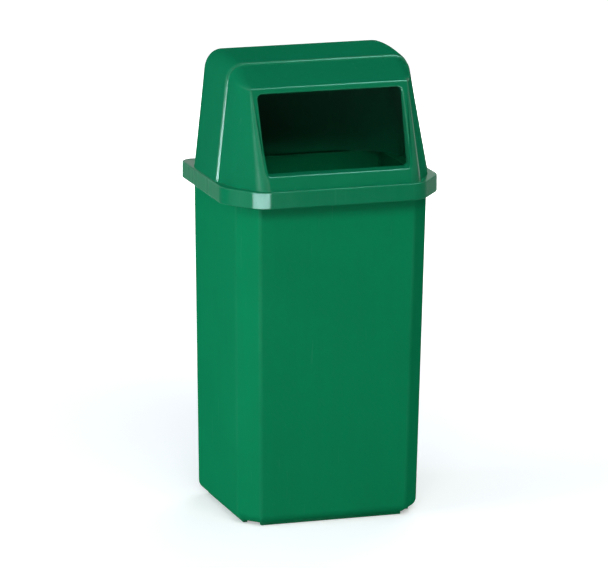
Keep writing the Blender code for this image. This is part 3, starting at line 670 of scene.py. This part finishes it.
def frame_edge_rings(inset, frame_section, frame_line, arch_line):
    """Rings round the frame's edge, which is wider at the base than at the top."""
    rings = []
    for step in range(EDGE_STEPS + 1):
        share = step / EDGE_STEPS
        ring = []
        for corner, target, (_, z, inward_x, inward_z) in zip(frame_line, arch_line, frame_section):
            rise = min(max((z - RIM_TOP_Z) / (FRAME_TOP_Z - RIM_TOP_Z), 0), 1)
            reach = FRAME_EDGE_BASE_REACH + (FRAME_EDGE_TOP_REACH - FRAME_EDGE_BASE_REACH) * rise
            reach = max(reach - inset, SMALLEST_RADIUS)
            on_front = corner + reach * Vector((inward_x, inward_z * math.tan(FRAME_LEAN), inward_z))
            on_flank = corner + reach * (target - corner).normalized()
            ring.append(on_front * (1 - share) ** 2 + corner * (2 * share * (1 - share))
                        + on_flank * share ** 2)
        rings.append(ring)
    return rings


def flank_rings(edge, arch_line, frame_section):
    """Rings from the frame's edge to the arch, over the soft ridge of the flanks."""
    rings = []
    for step in range(1, FLANK_STEPS + 1):
        share = step / FLANK_STEPS
        ring = []
        for near, far, (_, _, inward_x, _) in zip(edge, arch_line, frame_section):
            chord = far - near
            side = math.copysign(1, near.x)
            outward = Vector((side * chord.y, -side * chord.x, 0))
            ring.append(near + chord * share + outward * ridge_share(share) * abs(inward_x))
        rings.append(ring)
    return rings


def crown_ring(inset, root_z, share, flare):
    """Section between the arch and the rounded rear, where the top rises a little."""
    def half_width(height):
        return hood_half_width(height) - inset

    top_z = TOP_Z - inset - HOOD_CROWN * (1 - math.sin(CROWN_TURN * share))
    crown = whole(section(half_width, root_z, top_z, HOOD_TOP_EDGE_RADIUS - inset, flare))
    ring = []
    for x, z, _, _ in crown:
        rear_y = HOOD_REAR - hood_rear_radius(z)
        ring.append(Vector((x, arch_y(z) + (rear_y - arch_y(z)) * share, z)))
    return ring


def edge_drop(inset, angle):
    """How far the rounded rear edge lies below the top, at an angle round the rear."""
    edge_radius = HOOD_REAR_EDGE_RADIUS - inset
    from_back = (HOOD_REAR_TOP_RADIUS - inset) * (1 - math.cos(angle))
    reach = max(edge_radius - from_back, 0)
    return edge_radius - math.sqrt(edge_radius ** 2 - reach ** 2)


def rear_ring(inset, root_z, angle, flare):
    """Section of the rounded rear, at an angle from 90 degrees (side) to 0 (back)."""
    def radius_at(height):
        return hood_rear_radius(height) - inset

    def half_width(height):
        return hood_half_width(height) - inset - radius_at(height) * (1 - math.sin(angle))

    crown_end = TOP_Z - HOOD_CROWN * (1 - math.sin(CROWN_TURN)) + edge_drop(inset, math.pi / 2)
    blend = HOOD_TOP_EDGE_RADIUS + (HOOD_REAR_EDGE_RADIUS - HOOD_TOP_EDGE_RADIUS) * math.cos(angle)
    rear = whole(section(half_width, root_z, crown_end - inset - edge_drop(inset, angle),
                         blend - inset, flare))
    return [Vector((x, HOOD_REAR - inset - radius_at(z) * (1 - math.cos(angle)), z))
            for x, z, _, _ in rear]


def mouth_ring(outset, depth_at):
    """Rounded rectangle of the mouth, set back from the frame's leaning face."""
    half_width = MOUTH_HALF_WIDTH + outset
    corners = rectangle_corners(-half_width, half_width, MOUTH_BOTTOM_Z - outset,
                                MOUTH_TOP_Z + outset, MOUTH_CORNER_RADIUS + outset)
    return [(point.x, frame_y(point.y) + depth_at(point.y), point.y)
            for point in rounded_outline(corners, CORNER_STEPS)]


def lip_depth(height):
    share = (height - MOUTH_BOTTOM_Z) / (MOUTH_TOP_Z - MOUTH_BOTTOM_Z)
    return MOUTH_BOTTOM_DEPTH + (MOUTH_TOP_DEPTH - MOUTH_BOTTOM_DEPTH) * share


def mouth_rings():
    """From the front face round the mouth's edge, in along the lip and back out."""
    rings = []
    for angle in quarter_turn(FILLET_STEPS):
        outset = MOUTH_EDGE_RADIUS * (1 - math.sin(angle))
        depth = MOUTH_EDGE_RADIUS * (1 - math.cos(angle))
        rings.append(mouth_ring(outset, lambda height, depth=depth: depth))
    for angle in quarter_turn(FILLET_STEPS):
        outset = WALL / 2 * (1 - math.cos(2 * angle))
        back = LIP_END_RADIUS * (1 - math.sin(2 * angle))
        rings.append(mouth_ring(outset, lambda height, back=back: lip_depth(height) - back))
    rings.append(mouth_ring(WALL, lambda height: WALL / math.cos(FRAME_LEAN)))
    return rings


def outline_at_root(rings, height):
    """Plan outline where the sections meet the rim, once round."""
    left = [Vector((ring[0][0], ring[0][1], height)) for ring in rings]
    right = [Vector((ring[-1][0], ring[-1][1], height)) for ring in rings]
    return left + list(reversed(right))


def make_hood(shell_plastic, edge_plastic, rim_plastic, rim_edge_plastic):
    root_z = RIM_TOP_Z - HOOD_ROOT_OVERLAP
    inner = hood_rings(WALL, root_z)
    make_cover_shell(hood_rings(0, root_z), inner, shell_plastic, edge_plastic)
    make_cover_rim(outline_at_root(inner, RIM_TOP_Z), rim_plastic, rim_edge_plastic)


def make_cover_shell(outer, inner, material, edge_material):
    skin = Skin()
    outer_loops = skin.loft(outer, wrap=False)
    inner_loops = skin.loft(inner, wrap=False)
    mouth_loops = skin.loft(mouth_rings())
    skin.burnish(outer_loops[1:EDGE_STEPS], FRAME_EDGE_GLOSS)
    skin.cap(outer_loops[0], mouth_loops[0])
    skin.cap(inner_loops[0], mouth_loops[-1])
    skin.cap(outer_loops[-1])
    skin.cap(inner_loops[-1])
    skin.finish("cover_shell", "cover", material, "hood_plastic", edge_material=edge_material)


def make_cover_rim(hole, material, edge_material):
    """Rim that drops over the tub's flange, open where the shell stands on it."""
    skin = Skin()
    bottom = quarter_levels(RIM_LOWER_EDGE, RIM_BOTTOM_Z + RIM_LOWER_EDGE, RIM_LOWER_EDGE,
                            -math.pi / 2, -1)
    top = quarter_levels(RIM_EDGE_RADIUS, RIM_TOP_Z - RIM_EDGE_RADIUS, RIM_EDGE_RADIUS,
                         math.pi, -1)
    outside = skin.loft(level_rings(bottom + top, rim_corners))
    for corner in RIM_FRONT_CORNERS:
        first = corner * (CORNER_STEPS + 1) + 1
        skin.burnish([loop[first:first + CORNER_STEPS - 1] for loop in outside], 1)
    inside = skin.loft(level_rings([(WALL - RIM_LOWER_EDGE / 2, RIM_BOTTOM_Z),
                                    (WALL, RIM_BOTTOM_Z + RIM_LOWER_EDGE / 2),
                                    (WALL, RIM_TOP_Z - WALL)], rim_corners))
    skin.strip(outside[0], inside[0])
    upper_hole = skin.ring(hole)
    lower_hole = skin.ring([point - Vector((0, 0, WALL)) for point in hole])
    skin.strip(upper_hole, lower_hole)
    skin.cap(outside[-1], upper_hole)
    skin.cap(inside[-1], lower_hole)
    skin.finish("cover_rim", "cover", material, "hood_plastic", "hood", edge_material=edge_material)


# Fasteners and buffers

def hexagon(radius, angle):
    """Distance from the middle to a hexagon's side; radius is to its corners."""
    half = HEXAGON_HALF_SIDE
    from_side = (angle + half) % (2 * half) - half
    return radius * math.cos(half) / math.cos(from_side)


def turned_ring(radius_at, along, spot):
    """Ring about the Y axis through the spot; radius_at gives the radius at an angle."""
    ring = []
    for segment in range(TURN_SEGMENTS):
        angle = 2 * math.pi * segment / TURN_SEGMENTS
        radius = radius_at(angle)
        ring.append((spot[0] + radius * math.cos(angle), along, spot[1] + radius * math.sin(angle)))
    return ring


def turned_skin(stations, spot, bored):
    """Turned surface, bored or capped; a station is (radius or function of the angle, y)."""
    rings = []
    for radius, along in stations:
        radius_at = radius if callable(radius) else (lambda angle, radius=radius: radius)
        rings.append(turned_ring(radius_at, along, spot))
    skin = Skin()
    if bored:
        loops = skin.loft(rings)
        skin.strip(loops[-1], loops[0])
    else:
        skin.solid(rings)
    return skin


def screw_head():
    """Rounded head with a hexagon socket, from the socket's floor to the seat."""
    front = SCREW_HEAD_BACK - SCREW_HEAD_HEIGHT
    shoulder = SCREW_HEAD_BACK - SCREW_HEAD_RIM
    crown = SCREW_HEAD_RADIUS / 2

    def socket(angle):
        return hexagon(SCREW_SOCKET_RADIUS, angle)

    def socket_edge(angle):
        return hexagon(SCREW_SOCKET_RADIUS, angle) + SCREW_SOCKET_BEVEL

    stations = [(SOCKET_POINT_RADIUS, front + SCREW_SOCKET_DEPTH + SCREW_SOCKET_BEVEL),
                (socket, front + SCREW_SOCKET_DEPTH),
                (socket, front + SCREW_SOCKET_BEVEL),
                (socket_edge, front)]
    for angle in quarter_turn(HEAD_STEPS):
        stations.append((crown + (SCREW_HEAD_RADIUS - crown) * math.sin(angle),
                         shoulder + (front - shoulder) * math.cos(angle)))
    return stations + [(SCREW_HEAD_RADIUS, SCREW_HEAD_BACK - SCREW_EDGE),
                       (SCREW_HEAD_RADIUS - SCREW_EDGE, SCREW_HEAD_BACK)]


def screw_shank():
    """Plain as far as the nut, threaded from there to the tip."""
    def thread(along):
        turn = along / SCREW_PITCH

        def radius(angle):
            height = abs((turn - angle / (2 * math.pi)) % 1 - 0.5) * 2
            return SCREW_RADIUS - SCREW_THREAD_DEPTH * height
        return radius

    stations = [(SCREW_RADIUS, SCREW_HEAD_BACK), (SCREW_RADIUS, NUT_FRONT)]
    length = SCREW_TIP - SCREW_TIP_CHAMFER - NUT_FRONT
    threads = round(length / SCREW_PITCH * THREAD_STEPS)
    for step in range(1, threads + 1):
        along = NUT_FRONT + length * step / threads
        stations.append((thread(along), along))
    return stations + [(SCREW_RADIUS - SCREW_TIP_CHAMFER - SCREW_THREAD_DEPTH, SCREW_TIP)]


def washer_stations():
    front = WASHER_BACK - WASHER_THICKNESS
    return [(SCREW_HOLE_RADIUS, WASHER_BACK - WASHER_EDGE),
            (SCREW_HOLE_RADIUS, front + WASHER_EDGE),
            (SCREW_HOLE_RADIUS + WASHER_EDGE, front),
            (WASHER_RADIUS - WASHER_EDGE, front),
            (WASHER_RADIUS - WASHER_EDGE_SAG, front + WASHER_EDGE_SAG),
            (WASHER_RADIUS, front + WASHER_EDGE),
            (WASHER_RADIUS, WASHER_BACK - WASHER_EDGE),
            (WASHER_RADIUS - WASHER_EDGE, WASHER_BACK),
            (SCREW_HOLE_RADIUS + WASHER_EDGE, WASHER_BACK)]


def nut_stations():
    """Hexagon nut: round chamfers cut its corners at both faces."""
    back = NUT_FRONT + NUT_HEIGHT
    flat = NUT_RADIUS * math.cos(HEXAGON_HALF_SIDE)

    def chamfered(reach):
        def radius(angle):
            return min(hexagon(NUT_RADIUS, angle), reach)
        return radius

    sides = []
    for step in range(NUT_CHAMFER_STEPS + 1):
        share = step / NUT_CHAMFER_STEPS
        sides.append((chamfered(flat + (NUT_RADIUS - flat) * share),
                      NUT_FRONT + NUT_CHAMFER * share))
    stations = [(SCREW_HOLE_RADIUS, back - NUT_BORE_BEVEL),
                (SCREW_HOLE_RADIUS, NUT_FRONT + NUT_BORE_BEVEL),
                (SCREW_HOLE_RADIUS + NUT_BORE_BEVEL, NUT_FRONT)]
    stations += sides
    stations += [(radius, NUT_FRONT + back - along) for radius, along in reversed(sides)]
    return stations + [(SCREW_HOLE_RADIUS + NUT_BORE_BEVEL, back)]


def buffer_stations():
    """Push-in buffer: barb inside the tub's wall, rounded foot against the wall."""
    head_front = TUB_REAR + SEAT_GAP
    barb_back = TUB_REAR - WALL - SEAT_GAP
    foot_back = WALL_FACE_Y - BUFFER_WALL_GAP
    stations = [(BUFFER_NECK_RADIUS / 2, barb_back - BUFFER_BARB_LENGTH),
                (BUFFER_BARB_RADIUS - BUFFER_BARB_EDGE, barb_back - BUFFER_BARB_RIM),
                (BUFFER_BARB_RADIUS, barb_back - BUFFER_BARB_RIM + BUFFER_BARB_EDGE),
                (BUFFER_BARB_RADIUS, barb_back - BUFFER_BARB_EDGE),
                (BUFFER_BARB_RADIUS - BUFFER_BARB_EDGE, barb_back),
                (BUFFER_NECK_RADIUS, barb_back),
                (BUFFER_NECK_RADIUS, head_front),
                (BUFFER_RADIUS - BUFFER_BARB_EDGE, head_front),
                (BUFFER_RADIUS, head_front + BUFFER_BARB_EDGE)]
    for angle in quarter_turn(FILLET_STEPS):
        stations.append((BUFFER_RADIUS - BUFFER_EDGE_RADIUS * (1 - math.cos(angle)),
                         foot_back - BUFFER_EDGE_RADIUS * (1 - math.sin(angle))))
    dish = BUFFER_RADIUS - 2 * BUFFER_EDGE_RADIUS
    return stations + [(dish, foot_back),
                       (dish - BUFFER_DISH_DEPTH, foot_back - BUFFER_DISH_DEPTH)]


def make_fasteners(steel, rubber):
    kinds = [("screw", screw_head() + screw_shank(), False),
             ("washer", washer_stations(), True),
             ("nut", nut_stations(), True)]
    spots = [(side * HANGER_HOLE_HALF_SPACING, HOOK_SEAT_Z + rise)
             for rise in HANGER_HOLE_RISES for side in (-1, 1)]
    for number, spot in enumerate(spots, start=1):
        for kind, stations, bored in kinds:
            skin = turned_skin(stations, spot, bored)
            skin.finish(f"{kind}_{number}", "bin", steel, "bright_steel", f"hanger_{kind}_{number}")
    for number, side in enumerate((-1, 1), start=1):
        skin = turned_skin(buffer_stations(), (side * BUFFER_HALF_SPACING, BUFFER_HEIGHT), False)
        skin.finish(f"buffer_{number}", "bin", rubber, "black_rubber", f"wall_buffer_{number}")


def dress_sheet(name, material):
    """Rail or hanger: the CAD sheet with its punched edges eased."""
    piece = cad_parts[name]
    piece.data.materials.clear()
    piece.data.materials.append(material)
    ease = piece.modifiers.new("eased_edges", "BEVEL")
    ease.width = SHEET_EDGE
    ease.segments = SHEET_EDGE_STEPS
    ease.limit_method = "ANGLE"
    ease.angle_limit = SHEET_EDGE_ANGLE
    ease.harden_normals = True


# Materials

class Tree:
    """Node tree of a material or of the world."""

    def __init__(self, owner):
        owner.use_nodes = True
        self.nodes = owner.node_tree.nodes
        self.links = owner.node_tree.links

    def math(self, operation, first, second):
        node = self.nodes.new("ShaderNodeMath")
        node.operation = operation
        for socket, value in zip(node.inputs, (first, second)):
            self.fill(socket, value)
        return node.outputs[0]

    def fill(self, socket, value):
        """Give a socket a value of its own, or link it to another socket."""
        if isinstance(value, (int, float, tuple)):
            socket.default_value = value
        else:
            self.links.new(value, socket)

    def remap(self, value, from_range, to_range):
        node = self.nodes.new("ShaderNodeMapRange")
        self.links.new(value, node.inputs["Value"])
        for ends, (low, high) in (("From", from_range), ("To", to_range)):
            node.inputs[ends + " Min"].default_value = low
            node.inputs[ends + " Max"].default_value = high
        return node.outputs["Result"]


class Paint(Tree):
    """Material around a Principled BSDF."""

    def __init__(self, name):
        self.material = bpy.data.materials.new(name)
        super().__init__(self.material)
        self.shader = self.nodes["Principled BSDF"]
        self.place = self.nodes.new("ShaderNodeTexCoord").outputs["Object"]

    def set(self, socket, value):
        self.shader.inputs[socket].default_value = value

    def join(self, value, socket):
        self.links.new(value, self.shader.inputs[socket])

    def noise(self, scale, detail, stretch=None, distortion=0):
        node = self.nodes.new("ShaderNodeTexNoise")
        node.inputs["Scale"].default_value = scale
        node.inputs["Detail"].default_value = detail
        node.inputs["Distortion"].default_value = distortion
        place = self.place
        if stretch:
            mapping = self.nodes.new("ShaderNodeMapping")
            mapping.inputs["Scale"].default_value = stretch
            self.links.new(place, mapping.inputs["Vector"])
            place = mapping.outputs["Vector"]
        self.links.new(place, node.inputs["Vector"])
        return node.outputs["Fac"]

    def cells(self, scale):
        node = self.nodes.new("ShaderNodeTexVoronoi")
        node.inputs["Scale"].default_value = scale
        self.links.new(self.place, node.inputs["Vector"])
        return node.outputs["Color"]

    def attribute(self, name):
        node = self.nodes.new("ShaderNodeAttribute")
        node.attribute_name = name
        return node.outputs["Fac"]

    def total(self, *patterns):
        """Sum of patterns, each spread from its own stretch of values over (0, share)."""
        parts = [self.remap(value, stretch, (0, share)) for value, stretch, share in patterns]
        result = parts[0]
        for part in parts[1:]:
            result = self.math("ADD", result, part)
        return result

    def mix(self, share, first, second):
        node = self.nodes.new("ShaderNodeMix")
        node.data_type = "RGBA"
        # The colours of a mix node come after its numbers and vectors
        for index, value in ((0, share), (6, first), (7, second)):
            self.fill(node.inputs[index], value)
        return node.outputs[2]

    def bump(self, height, size, below=None):
        node = self.nodes.new("ShaderNodeBump")
        node.inputs["Distance"].default_value, node.inputs["Strength"].default_value = size
        self.links.new(height, node.inputs["Height"])
        if below:
            self.links.new(below, node.inputs["Normal"])
        return node.outputs["Normal"]


def shaded(colour, factor=1):
    """Opaque colour, made lighter or darker."""
    return tuple(channel * factor for channel in colour) + (1.0,)


def moulded_plastic(name, colour, ior, face_roughness, edge_roughness):
    """Moulded plastic: cloudy pigment, flow streaks, fine grain, burnished edges."""
    paint = Paint(name)
    edge = paint.attribute(EDGE_ATTRIBUTE)
    clouds = paint.noise(*CLOUDS)
    streaks = paint.noise(*STREAKS)
    marks = paint.remap(paint.noise(*SCUFFS), SCUFFED, WHOLE)
    tone = paint.total((clouds, MIDDLE, CLOUD_TONE), (paint.noise(*SPECKLE), MIDDLE, SPECKLE_TONE),
                       (streaks, NARROW, STREAK_TONE))
    body = paint.mix(tone, shaded(colour, 1 - PIGMENT_SPREAD), shaded(colour, 1 + PIGMENT_SPREAD))
    rubbed = paint.math("MULTIPLY", edge, paint.remap(clouds, RUBBED, (LEAST_RUB, 1)))
    wear = paint.math("MAXIMUM", paint.math("MULTIPLY", rubbed, EDGE_WEAR),
                      paint.math("MULTIPLY", marks, SCUFF_WEAR))
    paint.join(paint.mix(wear, body, shaded(WORN_GREEN)), "Base Color")
    face = paint.remap(streaks, MIDDLE, (face_roughness - STREAK_ROUGHNESS,
                                         face_roughness + STREAK_ROUGHNESS))
    face = paint.math("SUBTRACT", face, paint.math("MULTIPLY", marks, SCUFF_GLOSS))
    gloss = paint.math("MULTIPLY", edge, face_roughness - edge_roughness)
    paint.join(paint.math("SUBTRACT", face, gloss), "Roughness")
    peel = paint.bump(paint.noise(*PEEL), PEEL_BUMP)
    grain = paint.bump(paint.noise(*GRAIN), GRAIN_BUMP, peel)
    paint.join(paint.bump(marks, SCUFF_BUMP, grain), "Normal")
    paint.set("IOR", ior)
    return paint.material


def zinc_sheet(name):
    """Zinc-plated sheet: passivation clouds, crystals, rolling lines and dull spots."""
    paint = Paint(name)
    clouds = paint.noise(*ZINC_CLOUDS)
    lines = paint.noise(*ZINC_LINES)
    tone = paint.total((clouds, MIDDLE, ZINC_CLOUD_TONE),
                       (paint.cells(ZINC_CRYSTAL_SCALE), WHOLE, ZINC_CRYSTAL_TONE),
                       (lines, NARROW, ZINC_LINE_TONE))
    body = paint.mix(tone, *(shaded(ZINC, factor) for factor in ZINC_SHADES))
    dull = paint.remap(paint.noise(*ZINC_SPOTS), SPOTTED, (0, ZINC_SPOT_SHARE))
    paint.join(paint.mix(dull, body, shaded(ZINC, ZINC_SPOT_SHADE)), "Base Color")
    paint.set("Metallic", 1.0)
    paint.join(paint.math("ADD", paint.remap(clouds, MIDDLE, ZINC_ROUGHNESS),
                          paint.remap(lines, NARROW, (0, ZINC_LINE_ROUGHNESS))), "Roughness")
    rolled = paint.bump(lines, ZINC_LINE_BUMP)
    paint.join(paint.bump(paint.noise(*ZINC_GRAIN), ZINC_GRAIN_BUMP, rolled), "Normal")
    return paint.material


def bright_steel(name):
    """Bright fasteners: turning marks, plating clouds and worn corners."""
    paint = Paint(name)
    clouds = paint.noise(*STEEL_CLOUDS)
    turning = paint.noise(*STEEL_TURNING)
    body = paint.mix(paint.remap(clouds, MIDDLE, WHOLE),
                     *(shaded(BRIGHT_STEEL, factor) for factor in STEEL_SHADES))
    rubbed = paint.math("MULTIPLY", paint.attribute(EDGE_ATTRIBUTE), STEEL_RUB)
    paint.join(paint.mix(rubbed, body, shaded(BRIGHT_STEEL, STEEL_RUB_SHADE)), "Base Color")
    paint.set("Metallic", 1.0)
    paint.join(paint.math("ADD", paint.remap(clouds, MIDDLE, STEEL_ROUGHNESS),
                          paint.remap(turning, MIDDLE, (0, TURNING_ROUGHNESS))), "Roughness")
    paint.join(paint.bump(turning, TURNING_BUMP), "Normal")
    return paint.material


def moulded_rubber(name):
    """Matte rubber: fine pores, dust in clouds and rubbed edges."""
    paint = Paint(name)
    clouds = paint.noise(*RUBBER_CLOUDS)
    dust = paint.remap(clouds, DUSTY, (0, RUBBER_DUST_SHARE))
    body = paint.mix(dust, shaded(BLACK_RUBBER), shaded(RUBBER_DUST))
    rubbed = paint.math("MULTIPLY", paint.attribute(EDGE_ATTRIBUTE), RUBBER_RUB)
    paint.join(paint.mix(rubbed, body, shaded(RUBBED_RUBBER)), "Base Color")
    paint.join(paint.remap(clouds, MIDDLE, RUBBER_ROUGHNESS), "Roughness")
    paint.join(paint.bump(paint.noise(*RUBBER_PORES), PORE_BUMP), "Normal")
    paint.set("Specular IOR Level", RUBBER_SPECULAR)
    return paint.material


# Stage

def direction(azimuth, elevation):
    """Unit vector to the left of the front by the azimuth, above it by the elevation."""
    azimuth = math.radians(azimuth)
    elevation = math.radians(elevation)
    return Vector((-math.sin(azimuth) * math.cos(elevation),
                   -math.cos(azimuth) * math.cos(elevation), math.sin(elevation)))


def make_camera():
    back = direction(CAMERA_AZIMUTH, CAMERA_ELEVATION)
    place = CAMERA_PIVOT + back * CAMERA_DISTANCE
    data = bpy.data.cameras.new("camera")
    data.sensor_width = SENSOR_WIDTH
    data.lens = CAMERA_LENS
    data.clip_end = CAMERA_REACH
    camera = add_object("camera", data)
    camera.location = place + TO_WORLD
    look = (CAMERA_TARGET - place).to_track_quat("-Z", "Y")
    camera.rotation_euler = look.to_euler()
    camera.rotation_euler.rotate_axis("Z", CAMERA_ROLL)
    bpy.context.scene.camera = camera


def area_light(name, azimuth, elevation, distance, size, power, colour, reach):
    """Soft box aimed at the middle of the bin."""
    data = bpy.data.lights.new(name, "AREA")
    data.shape = "RECTANGLE"
    data.size = size[0]
    data.size_y = size[1]
    data.energy = power
    data.color = colour
    light = add_object(name, data)
    towards = direction(azimuth, elevation)
    light.location = LIGHT_TARGET + TO_WORLD + towards * distance
    light.rotation_euler = towards.to_track_quat("Z", "Y").to_euler()
    light.visible_camera = False
    light.visible_diffuse = reach != "gloss"
    light.visible_glossy = reach != "faces"


class Backdrop(Tree):
    """World or floor: background rays, which meet plain white, see a shader of their own."""

    def __init__(self, owner, output):
        super().__init__(owner)
        self.nodes.clear()
        self.surface = self.nodes.new(output).inputs["Surface"]

    def shader(self, kind, colour=WHITE):
        node = self.nodes.new(kind)
        node.inputs["Color"].default_value = shaded(colour)
        return node

    def background_rays(self):
        """1 for camera, glossy and transmission rays."""
        path = self.nodes.new("ShaderNodeLightPath").outputs
        value = path["Is Camera Ray"]
        for ray in ("Is Glossy Ray", "Is Transmission Ray"):
            value = self.math("MAXIMUM", value, path[ray])
        return value

    def show(self, lit, seen):
        """Shader that lights the scene, and the one that background rays see."""
        mix = self.nodes.new("ShaderNodeMixShader")
        sources = (self.background_rays(), lit.outputs[0], seen.outputs[0])
        for socket, value in zip(mix.inputs, sources):
            self.links.new(value, socket)
        self.links.new(mix.outputs[0], self.surface)


def make_world():
    world = bpy.data.worlds.new("studio")
    bpy.context.scene.world = world
    tree = Backdrop(world, "ShaderNodeOutputWorld")
    dim = tree.shader("ShaderNodeBackground", AMBIENT_COLOUR)
    dim.inputs["Strength"].default_value = AMBIENT_STRENGTH
    white = tree.shader("ShaderNodeBackground")
    white.inputs["Strength"].default_value = 1.0
    tree.show(dim, white)


def make_floor():
    mesh = bpy.data.meshes.new("floor")
    shape = bmesh.new()
    bmesh.ops.create_grid(shape, x_segments=1, y_segments=1, size=FLOOR_HALF_SIZE)
    shape.to_mesh(mesh)
    shape.free()
    floor = add_object("floor", mesh)
    floor.location = (0, 0, -MOUNT_Z - FLOOR_GAP)
    mesh.materials.append(floor_material())


def floor_material():
    """Pale floor with a glow that grows outwards, so that it holds a shadow near the bin."""
    material = bpy.data.materials.new("floor")
    tree = Backdrop(material, "ShaderNodeOutputMaterial")
    diffuse = tree.shader("ShaderNodeBsdfDiffuse", FLOOR_COLOUR)
    glow = tree.shader("ShaderNodeEmission")
    place = tree.nodes.new("ShaderNodeTexCoord").outputs["Object"]
    distance = tree.nodes.new("ShaderNodeVectorMath")
    distance.operation = "LENGTH"
    tree.links.new(place, distance.inputs[0])
    fade = tree.remap(distance.outputs["Value"], FLOOR_GLOW_REACH, FLOOR_GLOW)
    tree.links.new(fade, glow.inputs["Strength"])
    both = tree.nodes.new("ShaderNodeAddShader")
    tree.links.new(diffuse.outputs[0], both.inputs[0])
    tree.links.new(glow.outputs[0], both.inputs[1])
    tree.show(diffuse, both)
    return material


# The scene

tub_plastic = moulded_plastic("tub_green", TUB_GREEN, TUB_IOR, TUB_ROUGHNESS, TUB_EDGE_ROUGHNESS)
hood_plastic = moulded_plastic("cover_green", COVER_GREEN, COVER_IOR,
                               COVER_ROUGHNESS, COVER_EDGE_ROUGHNESS)
edge_plastic = moulded_plastic("cover_edge_green", COVER_GREEN, EDGE_IOR,
                               COVER_EDGE_ROUGHNESS, COVER_EDGE_ROUGHNESS)
rim_plastic = moulded_plastic("rim_green", COVER_GREEN, RIM_IOR, RIM_ROUGHNESS, RIM_EDGE_ROUGHNESS)
rim_edge_plastic = moulded_plastic("rim_edge_green", COVER_GREEN, RIM_EDGE_IOR,
                                   RIM_EDGE_ROUGHNESS, RIM_EDGE_ROUGHNESS)
zinc = zinc_sheet("zinc")
make_tub(tub_plastic)
make_hood(hood_plastic, edge_plastic, rim_plastic, rim_edge_plastic)
make_fasteners(bright_steel("steel"), moulded_rubber("rubber"))
dress_sheet("wall_rail", zinc)
dress_sheet("tub_hanger", zinc)
make_floor()
make_world()
for light in LIGHTS:
    area_light(*light)
make_camera()
bpy.context.scene.view_settings.view_transform = "Standard"
